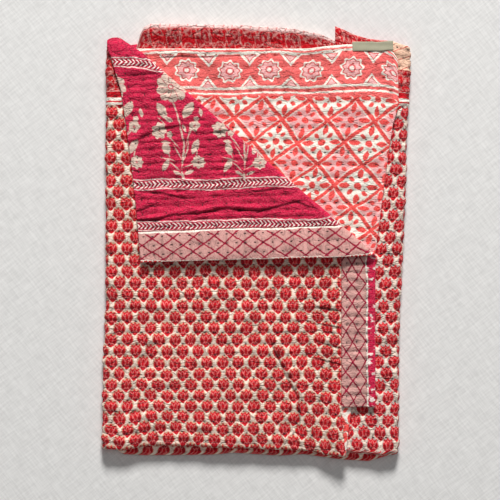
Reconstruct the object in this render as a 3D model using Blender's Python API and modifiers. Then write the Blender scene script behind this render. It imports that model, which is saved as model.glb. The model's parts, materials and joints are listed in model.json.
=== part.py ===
"""Folded quilted bedspread: halved crosswise, then folded in three lengthwise, one corner turned back.

The cloth is drawn flat, cut where it will bend, thickened, and then folded by moving its points.
Flat places are (across, down): across runs from the free side of the upper panel, down runs from the
outer leaf's hem, over the crosswise crease, to the inner leaf's hem. Tables are in plan units, x to the
right and y towards the near side.
"""

import math

import bmesh
import bpy
import numpy as np

UNIT = 0.0015  # metres in a plan unit
CENTRE = (256.25, 242.749)  # plan place of the object's origin

CLOTH = 0.0040  # quilt thickness
GAP = 0.0018  # space between two leaves
PACKET = 2 * CLOTH + GAP  # two leaves
PIVOT = PACKET + GAP / 2  # height of the lengthwise folds' axis
HEM_SHARE = 0.62  # thickness left at a hem
HEM_WIDTH = 5.0  # plan units over which a hem thins
SEAM_GAP = 0.0004  # between the quilt's side and the band

# Flat sizes, in plan units.
OVER = 228.0  # upper panel
BEND = 13.0  # each lengthwise fold
BASE = 291.0  # lower panel
RETURN = 64.0  # narrow panel folded in from the other side
OUTER = 414.0  # outer leaf, hem to crease
CREASE = 6.0  # crosswise fold
INNER = 402.0  # inner leaf
ACROSS = OVER + 2 * BEND + BASE + RETURN
DOWN = OUTER + CREASE + INNER
OUTER_HEM = 33.0  # y of the outer leaf's hem
CREASE_Y = OUTER_HEM + OUTER
INNER_HEM = CREASE_Y - INNER
BAND_WIDTH = 34.0
BAND_LENGTH = 371.8
REACH = 90.0  # how far in a hem's or a crease's wander is felt

# Outermost places of the lengthwise folds and of the free sides: (y, x).
LEFT_FOLD = ((50, 106.0), (150, 105.5), (300, 105.5), (354, 103.0), (447, 101.5))
RIGHT_FOLD = (
    (56, 411.0), (108, 409.0), (150, 406.5), (176, 406.5), (219, 405.0),
    (276, 402.0), (320, 400.0), (380, 399.0), (449, 399.0),
)
OVER_SIDE_OUTER = ((404, 341.0), (455, 346.0))
OVER_SIDE_INNER = (
    (60, 397.5), (105, 398.5), (125, 392.5), (174, 385.5), (262, 374.0),
    (410, 351.0), (430, 348.0), (447, 346.0),
)
RETURN_SIDE = ((22, 335.0), (250, 338.0), (457, 346.0))

# Hems and crease by panel: (across, y). Panels start at 0, OVER + BEND and OVER + 2 * BEND + BASE.
BASE_0 = OVER + BEND
RETURN_0 = OVER + 2 * BEND + BASE
OUTER_HEM_LINE = (
    (200, 33.0), (216, 36.0), (OVER, 42.0), (BASE_0, 46.0), (BASE_0 + 40, 40.0),
    (BASE_0 + 90, 35.0), (BASE_0 + 180, 37.0), (BASE_0 + 225, 46.0), (RETURN_0 - BEND, 49.0),
    (RETURN_0, 45.0), (RETURN_0 + 11, 41.0), (RETURN_0 + 31, 39.0), (RETURN_0 + 45, 35.0),
    (RETURN_0 + 56, 29.5), (RETURN_0 + 64, 26.0),
)
INNER_HEM_LINE = (
    (0, 60.0), (4, 52.0), (11, 46.5), (40, 44.5), (72, 48.0), (208, 48.0), (OVER, 51.0),
    (BASE_0, 53.0), (BASE_0 + 22, 50.0), (BASE_0 + 26, 35.0), (BASE_0 + 30, 27.0),
    (BASE_0 + 38, 23.0), (BASE_0 + 127, 24.5), (BASE_0 + 177, 27.5), (BASE_0 + 207, 33.0),
    (BASE_0 + 221, 39.0), (RETURN_0 - BEND, 50.0), (RETURN_0, 50.0), (RETURN_0 + 30, 45.0),
    (ACROSS, 32.0),
)
CREASE_LINE = (
    (0, 457.0), (47, 450.0), (102, 448.0), (188, 445.0), (216, 450.5), (OVER, 449.0),
    (BASE_0, 449.0), (BASE_0 + 8, 451.0), (BASE_0 + 14, 455.5), (BASE_0 + 40, 456.7),
    (BASE_0 + 108, 456.0), (BASE_0 + 128, 454.0), (BASE_0 + 176, 457.0), (BASE_0 + 200, 455.5),
    (BASE_0 + 238, 460.7), (BASE_0 + 268, 462.4), (RETURN_0 - BEND, 456.0), (RETURN_0, 453.5),
    (RETURN_0 + 14, 455.5), (RETURN_0 + 52, 452.7), (ACROSS, 452.0),
)

# Turned-back corner: a point of its edge, the edge's direction, and how the corner lies.
TURN_AT = (117.3, 31.1)
TURN_ALONG = (0.7557, 0.6548)
TURN_OUT = (0.6548, -0.7557)
ROLL = 9.0  # flat width of the rolled edge, plan units
ROLL_RADIUS = 0.0032
ROLL_OPENING = 0.0024  # more radius at the side seam's end
OPENS_ALONG = (200.0, 130.0)  # where the roll opens: (start, length)
LAID_SHARE = 0.965
LAID_SLIP = -0.163
SWING = ((38, 16.0), (57, 11.0), (70, 9.0), (91, 5.0), (141, 4.2), (232, 0.0))  # to the left: (y, units)
SWING_ENDS = (119.0, 24.0)  # x where the swing fades out: (start, length)

# Quilting rows: pitch and height of their ridges.
FRONT_ROW = 11.3
CORAL_ROW = 12.6
TURNED_ROW = 7.6
BAND_ROW = 8.5
RIDGE = 0.00045

# Soft unevenness of the pile: (waves across, waves down, phase, share of the height).
UNEVEN = (
    (1.3, 0.7, 0.4, 0.030), (0.6, 1.9, 2.1, 0.026), (2.4, 1.5, 4.0, 0.018),
    (1.7, 3.1, 1.2, 0.014), (3.6, 2.2, 5.2, 0.010),
)
PILE_CORNER = (101.0, 22.0)
PILE_SIZE = (310.0, 440.0)
FOLD_LOFT = 0.10  # extra height by the lengthwise folds
LOFT_WIDTH = 34.0

# Where the upper panel climbs over the narrow panel, from that panel's side: (start, length).
CLIMB = (-32.0, 28.0)

# The outer leaf sinks where the leaf below it ends: depth, then (start, length) across and down.
SAG = 0.00319
SAG_BEYOND = (1.0, 12.0)
SAG_BELOW = (285.0, 30.0)

# The lower panel's hem curls up where it sticks out: rise, then (start, length) of each side's ramp.
MARGIN_CURL = 0.009
MARGIN_HEM = (-47.0, 20.0)
MARGIN_LEFT = (120.0, 30.0)
MARGIN_RIGHT = (-352.0, 40.0)

# Lines and limits of the flat grid, in plan units.
OVER_LINES = (0, HEM_WIDTH, 14, 24, 34, 44, 56, 70, 90, 116, 147, 181, 214)
BASE_LINES = (22, 26, 31)
RETURN_LINES = (14, 29, 44)
LINE_SPACING = 46.0
BEND_STEPS = 5
UNDER_CORNER = 222.0  # outer leaf's rows start here, below the turned-back corner
CORAL_ROWS_END = 218.0
CORAL_SIDE = 190.0
CORAL_DIAGONAL = (215.0, 0.85)  # the coral part that shows: (length of its hem, slope)
EDGE_MARGIN = 4.0

LABEL = {"x": 372.5, "y": 46.7, "long": 40.5, "wide": 9.5, "thick": 0.0009, "tilt": -0.03}
LABEL_HOLD = 0.82  # share of the cloth's half thickness under the tab's inner side
LABEL_GAP = 0.0005

COLOURS = {
    "bedspread": (0.62, 0.10, 0.09),
    "border_band": (0.55, 0.24, 0.24),
    "label_tab": (0.27, 0.27, 0.17),
}


def smooth(value):
    """Soft step from 0 to 1."""
    value = np.clip(value, 0.0, 1.0)
    return value * value * (3 - 2 * value)


def line(rows, at):
    return np.interp(at, [row[0] for row in rows], [row[1] for row in rows])


def mix(one, two, share):
    return one + (two - one) * share


def ramp(value, start, length):
    return smooth((value - start) / length)


def unevenness(x, y):
    """Share by which the pile is higher or lower at a plan place."""
    total = 0.0
    for across, down, phase, share in UNEVEN:
        total = total + share * np.sin(
            2 * math.pi * (
                across * (x - PILE_CORNER[0]) / PILE_SIZE[0]
                + down * (y - PILE_CORNER[1]) / PILE_SIZE[1]
            )
            + phase
        )
    side = np.minimum(x - line(LEFT_FOLD, y), line(RIGHT_FOLD, y) - x)
    return total + FOLD_LOFT * smooth(1 - side / LOFT_WIDTH)


def rise_over_return(x, y):
    """Height of the upper panel where it climbs over the narrow panel."""
    return (PACKET + GAP) * ramp(x - line(RETURN_SIDE, y), *CLIMB)


def panel_plan(across, y, turned, depth):
    """Plan x and height of a place, from its depth in the packet of two leaves."""
    left = line(LEFT_FOLD, y) + PIVOT / UNIT
    right = line(RIGHT_FOLD, y) - PIVOT / UNIT
    free = mix(line(OVER_SIDE_OUTER, y), line(OVER_SIDE_INNER, y), turned)
    radius = PIVOT - depth
    bend_left = math.pi * np.clip((across - OVER) / BEND, 0, 1)
    bend_right = math.pi * np.clip((across - BASE_0 - BASE) / BEND, 0, 1)
    over = free - across + np.clip(across, 0, OVER) * (OVER - free + left) / OVER
    base = left + (right - left) * (across - BASE_0) / BASE
    back = right + (line(RETURN_SIDE, y) - right) * (across - RETURN_0) / RETURN
    x = np.where(across <= OVER, over, left - radius * np.sin(bend_left) / UNIT)
    x = np.where(across > BASE_0, base, x)
    x = np.where(across > BASE_0 + BASE, right + radius * np.sin(bend_right) / UNIT, x)
    x = np.where(across > RETURN_0, back, x)
    middle = across > BASE_0 + BASE / 2
    height = PIVOT + radius * np.where(middle, -np.cos(bend_right), np.cos(bend_left))
    return x, height


def swing(x, y):
    """How far the turned corner's top end swings out over the left fold."""
    return line(SWING, y) * (1 - ramp(x, *SWING_ENDS))


def turn_back(x, y, height, raised, width):
    """Rolls and lays back the corner beyond the turned edge. raised is the place's offset upwards."""
    dx, dy = x - TURN_AT[0], y - TURN_AT[1]
    along = dx * TURN_ALONG[0] + dy * TURN_ALONG[1]
    radius = ROLL_RADIUS + ROLL_OPENING * ramp(along, *OPENS_ALONG)
    inset = (radius + width / 2) / UNIT
    out = dx * TURN_OUT[0] + dy * TURN_OUT[1] + inset
    angle = math.pi * np.clip(out / ROLL, 0, 1)
    laid = np.maximum(out - ROLL, 0)
    reach = np.where(out < 0, out, 0) + (radius - raised) * np.sin(angle) / UNIT - LAID_SHARE * laid
    along = along + LAID_SLIP * laid
    reach = reach - inset
    new_x = TURN_AT[0] + along * TURN_ALONG[0] + reach * TURN_OUT[0]
    new_y = TURN_AT[1] + along * TURN_ALONG[1] + reach * TURN_OUT[1]
    new_x = new_x - swing(new_x, new_y) * smooth(out / ROLL)
    lift = radius - (radius - raised) * np.cos(angle) - raised
    turned = out > 0
    return np.where(turned, new_x, x), np.where(turned, new_y, y), height + lift * turned


def fold(across, down, offset, width=CLOTH):
    """Metres of a flat place moved into the pile. offset is measured towards the tulip-printed face."""
    turned = np.clip((down - OUTER) / CREASE, 0, 1)
    angle = math.pi * turned
    y = np.where(down <= OUTER, OUTER_HEM + down, CREASE_Y)
    y = np.where(down >= OUTER + CREASE, INNER_HEM + DOWN - down, y)
    radius = (CLOTH + GAP) / 2 + offset
    depth = PACKET / 2 - radius * np.cos(angle)
    x, height = panel_plan(across, y, turned, depth)

    hem_y = mix(OUTER_HEM, INNER_HEM, turned > 0.5)
    hem = np.where(turned > 0.5, line(INNER_HEM_LINE, across), line(OUTER_HEM_LINE, across))
    near_hem = (1 - np.clip((y - hem_y) / REACH, 0, 1)) ** 2
    near_crease = (1 - np.clip((CREASE_Y - y) / REACH, 0, 1)) ** 2
    crease = line(CREASE_LINE, across) - PACKET / 2 / UNIT - CREASE_Y
    y = y + (hem - hem_y) * near_hem + crease * near_crease + radius * np.sin(angle) / UNIT

    over = across <= OVER
    raised = np.where(over, np.cos(angle) * offset, 0)
    x, y, height = np.where(
        over & (turned == 0), turn_back(x, y, height, raised, width), (x, y, height)
    )
    height = height + np.where(over, rise_over_return(x, y), 0)
    sag = SAG * ramp(x - line(OVER_SIDE_INNER, y), *SAG_BEYOND) * ramp(y, *SAG_BELOW)
    height = height - np.where(over & (turned == 0), sag, 0)
    margin = ramp(-y, *MARGIN_HEM) * ramp(x, *MARGIN_LEFT) * ramp(-x, *MARGIN_RIGHT)
    inner = ramp(depth, PACKET / 2, PACKET / 4)
    base = (across > BASE_0) & (across < BASE_0 + BASE)
    height = height + np.where(base, MARGIN_CURL * margin * inner, 0)
    height = height * (1 + unevenness(x, y))
    return np.stack(
        ((x - CENTRE[0]) * UNIT, (CENTRE[1] - y) * UNIT, height), axis=-1
    )


def ridge(place, pitch):
    return np.cos(2 * math.pi * place / pitch)


def is_turned(across, down):
    """True where the flat cloth is on the turned-back corner."""
    dx, dy = OVER_SIDE_OUTER[0][1] - across - TURN_AT[0], OUTER_HEM + down - TURN_AT[1]
    return (dx * TURN_OUT[0] + dy * TURN_OUT[1] > ROLL) & (down < OUTER) & (across < OVER)


def half_thickness(across, down, band):
    """Half the cloth's thickness: thinner at the hems, with the ridges of the quilting rows."""
    if band:
        edge = np.minimum(-across, across + BAND_WIDTH)
        edge = np.minimum(edge, np.minimum(down, BAND_LENGTH - down))
    else:
        edge = np.minimum(np.minimum(across, ACROSS - across), np.minimum(down, DOWN - down))
    full = mix(HEM_SHARE, 1.0, smooth(edge / HEM_WIDTH))
    turned = is_turned(across, down)
    front = (down < OUTER - EDGE_MARGIN) & (across < OVER) & ~turned
    coral = (down > OUTER + CREASE + EDGE_MARGIN) & (across < OVER)
    narrow = (down < OUTER - EDGE_MARGIN) & (across > RETURN_0)
    row = np.where(turned, ridge(across, TURNED_ROW), 0)
    row = np.where(front, ridge(down, BAND_ROW if band else FRONT_ROW), row)
    row = np.where(coral, ridge(DOWN - down, CORAL_ROW), row)
    row = np.where(narrow, ridge(down, FRONT_ROW), row)
    inside = ramp(edge, 0.4 * HEM_WIDTH, HEM_WIDTH)
    return CLOTH / 2 * full + RIDGE * row * inside


def grid(across_lines, down_lines):
    """A flat grid with its lines at the given places."""
    mesh = bmesh.new()
    bmesh.ops.create_grid(
        mesh, x_segments=len(across_lines) - 1, y_segments=len(down_lines) - 1, size=1
    )
    for vert in mesh.verts:
        vert.co.x = across_lines[round((vert.co.x + 1) / 2 * (len(across_lines) - 1))]
        vert.co.y = down_lines[round((vert.co.y + 1) / 2 * (len(down_lines) - 1))]
    return mesh


def cut(mesh, place, normal, within):
    """Cuts along a line those faces whose middle is within the region."""
    faces = [face for face in mesh.faces if within(face.calc_center_median())]
    edges = {edge for face in faces for edge in face.edges}
    verts = {vert for face in faces for vert in face.verts}
    bmesh.ops.bisect_plane(
        mesh,
        geom=list(verts) + list(edges) + faces,
        dist=0.02,
        plane_co=(*place, 0),
        plane_no=(*normal, 0),
    )


def corner_place(out):
    """Flat place and normal of a line parallel to the turned edge."""
    x = TURN_AT[0] + out * TURN_OUT[0]
    y = TURN_AT[1] + out * TURN_OUT[1]
    return (OVER_SIDE_OUTER[0][1] - x, y - OUTER_HEM), (-TURN_OUT[0], TURN_OUT[1])


def corner_out(place):
    """How far a flat place is beyond the turned edge."""
    x, y = OVER_SIDE_OUTER[0][1] - place.x, OUTER_HEM + place.y
    return (x - TURN_AT[0]) * TURN_OUT[0] + (y - TURN_AT[1]) * TURN_OUT[1]


def cut_corner(mesh):
    """Lines of the rolled edge, then the rows of the turned-back corner."""
    inset = (ROLL_RADIUS + CLOTH / 2) / UNIT
    for step in range(BEND_STEPS + 1):
        out = ROLL * step / BEND_STEPS - inset
        place, normal = corner_place(out)
        cut(mesh, place, normal, lambda c: c.x < OVER and c.y < OUTER)


def steps(first, last, spacing):
    count = max(1, round((last - first) / spacing))
    return [first + (last - first) * i / count for i in range(count + 1)]


def rows(first, last, pitch):
    """Crests and valleys of the rows between two places."""
    return [i * pitch / 2 for i in range(math.ceil(first * 2 / pitch), int(last * 2 / pitch) + 1)]


OUTER_LINES = [0, HEM_WIDTH] + steps(24, OUTER - 16, LINE_SPACING)


def cloth_grid():
    """The flat quilt, cut where it bends and along the rows that show."""
    across = list(OVER_LINES) + steps(OVER, BASE_0, BEND / BEND_STEPS)
    across += [BASE_0 + place for place in BASE_LINES] + steps(BASE_0 + 60, BASE_0 + BASE - 25, 42)
    across += steps(BASE_0 + BASE, RETURN_0, BEND / BEND_STEPS)
    across += [RETURN_0 + place for place in RETURN_LINES] + [ACROSS - HEM_WIDTH, ACROSS]
    down = OUTER_LINES + steps(OUTER, OUTER + CREASE, CREASE / BEND_STEPS)
    down += steps(OUTER + CREASE + 16, DOWN - 24, LINE_SPACING) + [DOWN - 13, DOWN - HEM_WIDTH, DOWN]
    mesh = grid(across, down)
    cut_corner(mesh)

    def on_corner(place):
        return place.x < OVER and place.y < OUTER and corner_out(place) > EDGE_MARGIN

    def on_front(place):
        return place.x < OVER and place.y < OUTER and corner_out(place) < -EDGE_MARGIN

    def on_coral(place):
        hem, slope = CORAL_DIAGONAL
        shows = place.x < min(CORAL_SIDE, hem - (DOWN - place.y) * slope)
        return shows and place.y > OUTER + CREASE

    def on_narrow(place):
        return RETURN_0 < place.x < RETURN_0 + RETURN_LINES[1] and place.y < OUTER

    for place in rows(6, OVER - 6, TURNED_ROW):
        cut(mesh, (place, 0), (1, 0), on_corner)
    for place in rows(UNDER_CORNER, OUTER - 6, FRONT_ROW):
        cut(mesh, (0, place), (0, 1), on_front)
    for place in rows(6, CORAL_ROWS_END, CORAL_ROW):
        cut(mesh, (0, DOWN - place), (0, 1), on_coral)
    for place in rows(8, OUTER - 6, FRONT_ROW):
        cut(mesh, (0, place), (0, 1), on_narrow)
    return mesh


def band_grid():
    """The flat band, cut like the quilt beside it."""
    seam = -SEAM_GAP / UNIT
    across = [-BAND_WIDTH, -BAND_WIDTH + HEM_WIDTH, -22.8, -17.1, -11.4, -HEM_WIDTH, seam]
    down = [place for place in OUTER_LINES if place < UNDER_CORNER]
    down += rows(UNDER_CORNER, BAND_LENGTH - EDGE_MARGIN, BAND_ROW) + [BAND_LENGTH]
    mesh = grid(across, down)
    cut_corner(mesh)
    return mesh


def shell(name, mesh, thickness):
    """A closed mesh of triangles, made by thickening a flat one to both sides."""
    bmesh.ops.triangulate(mesh, faces=mesh.faces[:], quad_method="SHORT_EDGE")
    data = bpy.data.meshes.new(name)
    mesh.to_mesh(data)
    mesh.free()
    flat = bpy.data.objects.new(name + "_flat", data)
    cutters.objects.link(flat)
    modifier = flat.modifiers.new("Thickness", "SOLIDIFY")
    modifier.thickness = thickness
    modifier.offset = 0
    bpy.context.view_layer.update()
    graph = bpy.context.evaluated_depsgraph_get()
    solid = bpy.data.meshes.new_from_object(flat.evaluated_get(graph))
    bpy.data.objects.remove(flat)
    return solid


def add_object(name, solid, points):
    """Puts the points in place, turns the faces outwards, and adds the object with its material."""
    solid.vertices.foreach_set("co", np.ascontiguousarray(points, np.float32).ravel())
    turned = bmesh.new()
    turned.from_mesh(solid)
    if turned.calc_volume(signed=True) < 0:
        bmesh.ops.reverse_faces(turned, faces=turned.faces[:])
    turned.to_mesh(solid)
    turned.free()
    solid.name = name
    obj = bpy.data.objects.new(name, solid)
    material = bpy.data.materials.new(name)
    material.use_nodes = True
    shader = material.node_tree.nodes["Principled BSDF"]
    shader.inputs["Base Color"].default_value = (*COLOURS[name], 1)
    shader.inputs["Roughness"].default_value = 0.85
    solid.materials.append(material)
    pile.objects.link(obj)
    return obj


def coordinates(solid):
    points = np.empty(len(solid.vertices) * 3)
    solid.vertices.foreach_get("co", points)
    return points.reshape(-1, 3)


def quilt(name, flat, band):
    """A folded solid from a flat one."""
    solid = shell(name, flat, 2.0)
    across, down, side = coordinates(solid).T
    half = half_thickness(across, down, band)
    # The underside of the pile stays level, to rest on.
    resting = (down < OUTER) & (across > BASE_0) & (across < BASE_0 + BASE)
    half = np.where(resting & (side > 0), CLOTH / 2, half)
    return add_object(name, solid, fold(across, down, np.sign(side) * half))


def label():
    """The tab, laid on the inner leaf by its hem."""
    flat = grid(steps(-0.5, 0.5, 1 / 8), steps(-0.5, 0.5, 1 / 3))
    solid = shell("label_tab", flat, 1.0)
    along, side, up = coordinates(solid).T
    along, side = along * LABEL["long"], side * LABEL["wide"]
    x = LABEL["x"] + along * math.cos(LABEL["tilt"]) - side * math.sin(LABEL["tilt"])
    y = LABEL["y"] + along * math.sin(LABEL["tilt"]) + side * math.cos(LABEL["tilt"])
    half = CLOTH / 2 * mix(HEM_SHARE, LABEL_HOLD, smooth((y - INNER_HEM) / HEM_WIDTH))
    under = 2 * PIVOT - PACKET + CLOTH / 2 + half + LABEL_GAP + rise_over_return(x, y)
    height = (under + (up + 0.5) * LABEL["thick"]) * (1 + unevenness(x, y))
    points = np.stack(((x - CENTRE[0]) * UNIT, (CENTRE[1] - y) * UNIT, height), axis=-1)
    return add_object("label_tab", solid, points)


for old in list(bpy.data.objects):
    bpy.data.objects.remove(old)
pile = bpy.data.collections.new("folded_bedspread")
cutters = bpy.data.collections.new("flat_patterns")
for collection in (pile, cutters):
    bpy.context.scene.collection.children.link(collection)

quilt("bedspread", cloth_grid(), False)
quilt("border_band", band_grid(), True)
label()
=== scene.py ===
"""Visible model of a folded, hand-quilted and block-printed cotton bedspread.

The cloth is drawn flat on a fine grid, thickened, and folded by moving its points, as the CAD solid is.
Flat places are (across, down), in plan units of 1.5 mm: across runs from the upper panel's free side,
down runs from the outer leaf's hem over the crosswise crease to the inner leaf's hem. Plan places are
(x, y) with y towards the near side. The prints are drawn by shader nodes in the same units.
"""

import json
import math

import bmesh
import bpy
import numpy as np
from bpy.props import FloatProperty, FloatVectorProperty, PointerProperty
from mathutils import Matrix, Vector
from mathutils.bvhtree import BVHTree

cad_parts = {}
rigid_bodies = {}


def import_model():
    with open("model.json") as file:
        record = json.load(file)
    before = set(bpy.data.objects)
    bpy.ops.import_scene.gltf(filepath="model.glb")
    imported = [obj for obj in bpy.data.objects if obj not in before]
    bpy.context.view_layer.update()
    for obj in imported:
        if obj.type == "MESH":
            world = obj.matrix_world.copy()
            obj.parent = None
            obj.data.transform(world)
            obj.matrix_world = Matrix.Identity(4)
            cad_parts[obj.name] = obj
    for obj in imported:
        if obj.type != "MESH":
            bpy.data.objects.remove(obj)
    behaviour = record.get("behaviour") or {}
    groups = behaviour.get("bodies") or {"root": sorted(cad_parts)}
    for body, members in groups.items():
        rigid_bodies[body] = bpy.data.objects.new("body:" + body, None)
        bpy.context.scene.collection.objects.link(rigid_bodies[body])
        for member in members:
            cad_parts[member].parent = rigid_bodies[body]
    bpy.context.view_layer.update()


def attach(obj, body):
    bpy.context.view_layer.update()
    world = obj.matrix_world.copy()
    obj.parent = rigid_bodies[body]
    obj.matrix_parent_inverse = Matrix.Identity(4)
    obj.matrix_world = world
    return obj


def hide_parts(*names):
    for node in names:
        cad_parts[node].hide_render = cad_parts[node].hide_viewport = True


bl_info = {
    "name": "Folded Quilted Bedspread",
    "version": (1, 0, 0),
    "blender": (4, 5, 0),
    "location": "3D View > Sidebar > Bedspread",
    "description": "Builds a folded block-printed quilt with its border band, tab, stitches and stage",
    "category": "Add Mesh",
}

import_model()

# Sizes of the fold, as in the CAD solid.

UNIT = 0.0015  # metres in a plan unit
PRINT_SCALE = 100.0  # plan units in one unit of the print's UV map
CENTRE = (256.25, 242.749)  # plan place of the object's origin
CLOTH = 0.0040
GAP = 0.0018
PACKET = 2 * CLOTH + GAP
PIVOT = PACKET + GAP / 2
SEAM_GAP = 0.0004

OVER = 228.0
BEND = 13.0
BASE = 291.0
RETURN = 64.0
OUTER = 414.0
CREASE = 6.0
INNER = 402.0
BASE_0 = OVER + BEND
RETURN_0 = OVER + 2 * BEND + BASE
ACROSS = RETURN_0 + RETURN
DOWN = OUTER + CREASE + INNER
OUTER_HEM = 33.0
CREASE_Y = OUTER_HEM + OUTER
INNER_HEM = CREASE_Y - INNER
BAND_WIDTH = 34.0
BAND_LENGTH = 371.8
REACH = 90.0

LEFT_FOLD = ((50, 106.0), (150, 105.5), (300, 105.5), (354, 103.0), (447, 101.5))
RIGHT_FOLD = (
    (56, 411.0), (108, 409.0), (150, 406.5), (176, 406.5), (219, 405.0),
    (276, 402.0), (320, 400.0), (380, 399.0), (449, 399.0),
)
OVER_SIDE_OUTER = ((404, 341.0), (455, 346.0))
OVER_SIDE_INNER = (
    (60, 397.5), (105, 398.5), (125, 392.5), (174, 385.5), (262, 374.0),
    (410, 351.0), (430, 348.0), (447, 346.0),
)
RETURN_SIDE = ((22, 335.0), (250, 338.0), (457, 346.0))
OUTER_HEM_LINE = (
    (200, 33.0), (216, 36.0), (OVER, 42.0), (BASE_0, 46.0), (BASE_0 + 40, 40.0),
    (BASE_0 + 90, 35.0), (BASE_0 + 180, 37.0), (BASE_0 + 225, 46.0), (RETURN_0 - BEND, 49.0),
    (RETURN_0, 45.0), (RETURN_0 + 11, 41.0), (RETURN_0 + 31, 39.0), (RETURN_0 + 45, 35.0),
    (RETURN_0 + 56, 29.5), (RETURN_0 + 64, 26.0),
)
INNER_HEM_LINE = (
    (0, 60.0), (4, 52.0), (11, 46.5), (40, 44.5), (72, 48.0), (208, 48.0), (OVER, 51.0),
    (BASE_0, 53.0), (BASE_0 + 22, 50.0), (BASE_0 + 26, 35.0), (BASE_0 + 30, 27.0),
    (BASE_0 + 38, 23.0), (BASE_0 + 127, 24.5), (BASE_0 + 177, 27.5), (BASE_0 + 207, 33.0),
    (BASE_0 + 221, 39.0), (RETURN_0 - BEND, 50.0), (RETURN_0, 50.0), (RETURN_0 + 30, 45.0),
    (ACROSS, 32.0),
)
CREASE_LINE = (
    (0, 457.0), (47, 450.0), (102, 448.0), (188, 445.0), (216, 450.5), (OVER, 449.0),
    (BASE_0, 449.0), (BASE_0 + 8, 451.0), (BASE_0 + 14, 455.5), (BASE_0 + 40, 456.7),
    (BASE_0 + 108, 456.0), (BASE_0 + 128, 454.0), (BASE_0 + 176, 457.0), (BASE_0 + 200, 455.5),
    (BASE_0 + 238, 460.7), (BASE_0 + 268, 462.4), (RETURN_0 - BEND, 456.0), (RETURN_0, 453.5),
    (RETURN_0 + 14, 455.5), (RETURN_0 + 52, 452.7), (ACROSS, 452.0),
)

TURN_AT = (117.3, 31.1)
TURN_ALONG = (0.7557, 0.6548)
TURN_OUT = (0.6548, -0.7557)
ROLL = 9.0
ROLL_RADIUS = 0.0032
ROLL_OPENING = 0.0024
OPENS_ALONG = (200.0, 130.0)
LAID_SHARE = 0.965
LAID_SLIP = -0.163
SWING = ((38, 20.0), (44, 19.0), (57, 13.5), (70, 11.5), (91, 6.7), (141, 4.4), (232, 0.0))
SWING_ENDS = (119.0, 24.0)

UNEVEN = (
    (1.3, 0.7, 0.4, 0.030), (0.6, 1.9, 2.1, 0.026), (2.4, 1.5, 4.0, 0.018),
    (1.7, 3.1, 1.2, 0.014), (3.6, 2.2, 5.2, 0.010),
)
PILE_CORNER = (101.0, 22.0)
PILE_SIZE = (310.0, 440.0)
FOLD_LOFT = 0.10
LOFT_WIDTH = 34.0
CLIMB = (-32.0, 28.0)
SAG = 0.00319
SAG_BEYOND = (1.0, 12.0)
SAG_BELOW = (285.0, 30.0)
MARGIN_CURL = 0.009
MARGIN_HEM = (-47.0, 20.0)
MARGIN_LEFT = (120.0, 30.0)
MARGIN_RIGHT = (-352.0, 40.0)

SWELL = 0.0005
HEM_LIFT = 0.0065
FLAP_END = 205.0  # rows of the outer leaf that the turned corner reaches
CORAL_SIDE = 205.0  # places of the inner leaf that show

# The picture's frame: its width, and the height above the floor at which it is measured.
PICTURE = 500.0
PICTURE_HEIGHT = 0.022

LABEL = {"x": 372.5, "y": 46.7, "long": 40.5, "wide": 9.5, "thick": 0.0009, "tilt": -0.03}
LABEL_HOLD = 0.82
HEM_SHARE = 0.62
LABEL_GAP = 0.0005

# Quilting of each part that shows: ridges lie between valleys (axis, pitch, first), and threads lie in
# rows (axis, pitch, first) at a pitch along the row, each row shifted against the one before.
QUILTING = {
    "front": {
        "valleys": ("down", 11.3, 5.65), "depth": 0.0019,
        "rows": ("down", 11.3, 5.65), "pitch": 9.0, "first": 2.0, "shift": 3.4,
    },
    "coral": {
        "valleys": ("up", 12.6, 6.3), "depth": 0.0015,
        "rows": ("up", 12.6, 6.3), "pitch": 9.4, "first": 4.0, "shift": 3.7,
    },
    "turned": {
        "valleys": ("across", 7.8, 3.9), "depth": 0.0021,
        "rows": ("down", 11.3, 5.65), "pitch": 15.6, "first": 3.9, "shift": 7.8,
    },
    "band": {
        "valleys": ("down", 8.7, 4.35), "depth": 0.0012,
        "rows": ("across", 10.0, -25.5), "pitch": 8.7, "first": 4.35, "shift": 0.0,
    },
}
INNER_PARTS = ("turned", "coral", "band_turned")

# Creases and wrinkles listed for each part: (x0, y0, x1, y1, rise in mm, half width in units).
WRINKLES = {
    "front": (
        (275, 342, 289, 372, 1.6, 5.0), (289, 372, 304, 399, 1.8, 5.5), (304, 399, 305, 424, 1.4, 6.0),
        (318, 305, 341, 309, 1.0, 3.2), (316, 322, 341, 325, 1.1, 3.4), (319, 340, 341, 346, 1.0, 3.2),
        (312, 356, 340, 362, 0.9, 3.5), (118, 300, 176, 312, 0.8, 6.0), (205, 300, 240, 330, 0.9, 7.0),
        (150, 390, 196, 378, 0.8, 6.0), (110, 405, 118, 440, 1.3, 5.0), (196, 428, 262, 436, 0.9, 5.0),
        (118, 432, 160, 426, 1.0, 4.5), (232, 384, 246, 412, 0.8, 6.0), (108, 190, 112, 260, 0.8, 4.0),
        (322, 400, 332, 440, 1.3, 5.0),
    ),
    "turned": (
        (138, 219, 157, 218, 2.2, 2.6), (157, 218, 170, 214, 2.3, 2.8), (170, 214, 196, 212, 1.9, 2.8),
        (196, 212, 224, 206, 1.9, 3.0), (224, 206, 260, 209, 1.7, 3.0), (260, 209, 297, 200, 1.6, 3.2),
        (297, 200, 315, 204, 1.3, 3.0), (137, 210, 152, 204, 1.4, 2.6), (122, 74, 159, 72, 1.3, 2.6),
        (127, 142, 151, 130, 1.5, 3.0), (151, 130, 176, 124, 1.0, 3.0), (208, 132, 236, 128, 1.0, 3.0),
        (150, 190, 184, 196, 1.0, 2.6), (240, 190, 286, 188, 1.0, 2.6), (330, 236, 362, 247, 1.2, 3.4),
    ),
    "coral": (
        (150, 54, 232, 50, 0.9, 3.0), (262, 110, 300, 150, 0.7, 6.0), (332, 120, 352, 190, 0.8, 6.0),
        (380, 70, 396, 92, 1.0, 3.6), (372, 98, 396, 108, 1.0, 3.4), (340, 210, 366, 236, 0.8, 5.0),
    ),
}


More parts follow.
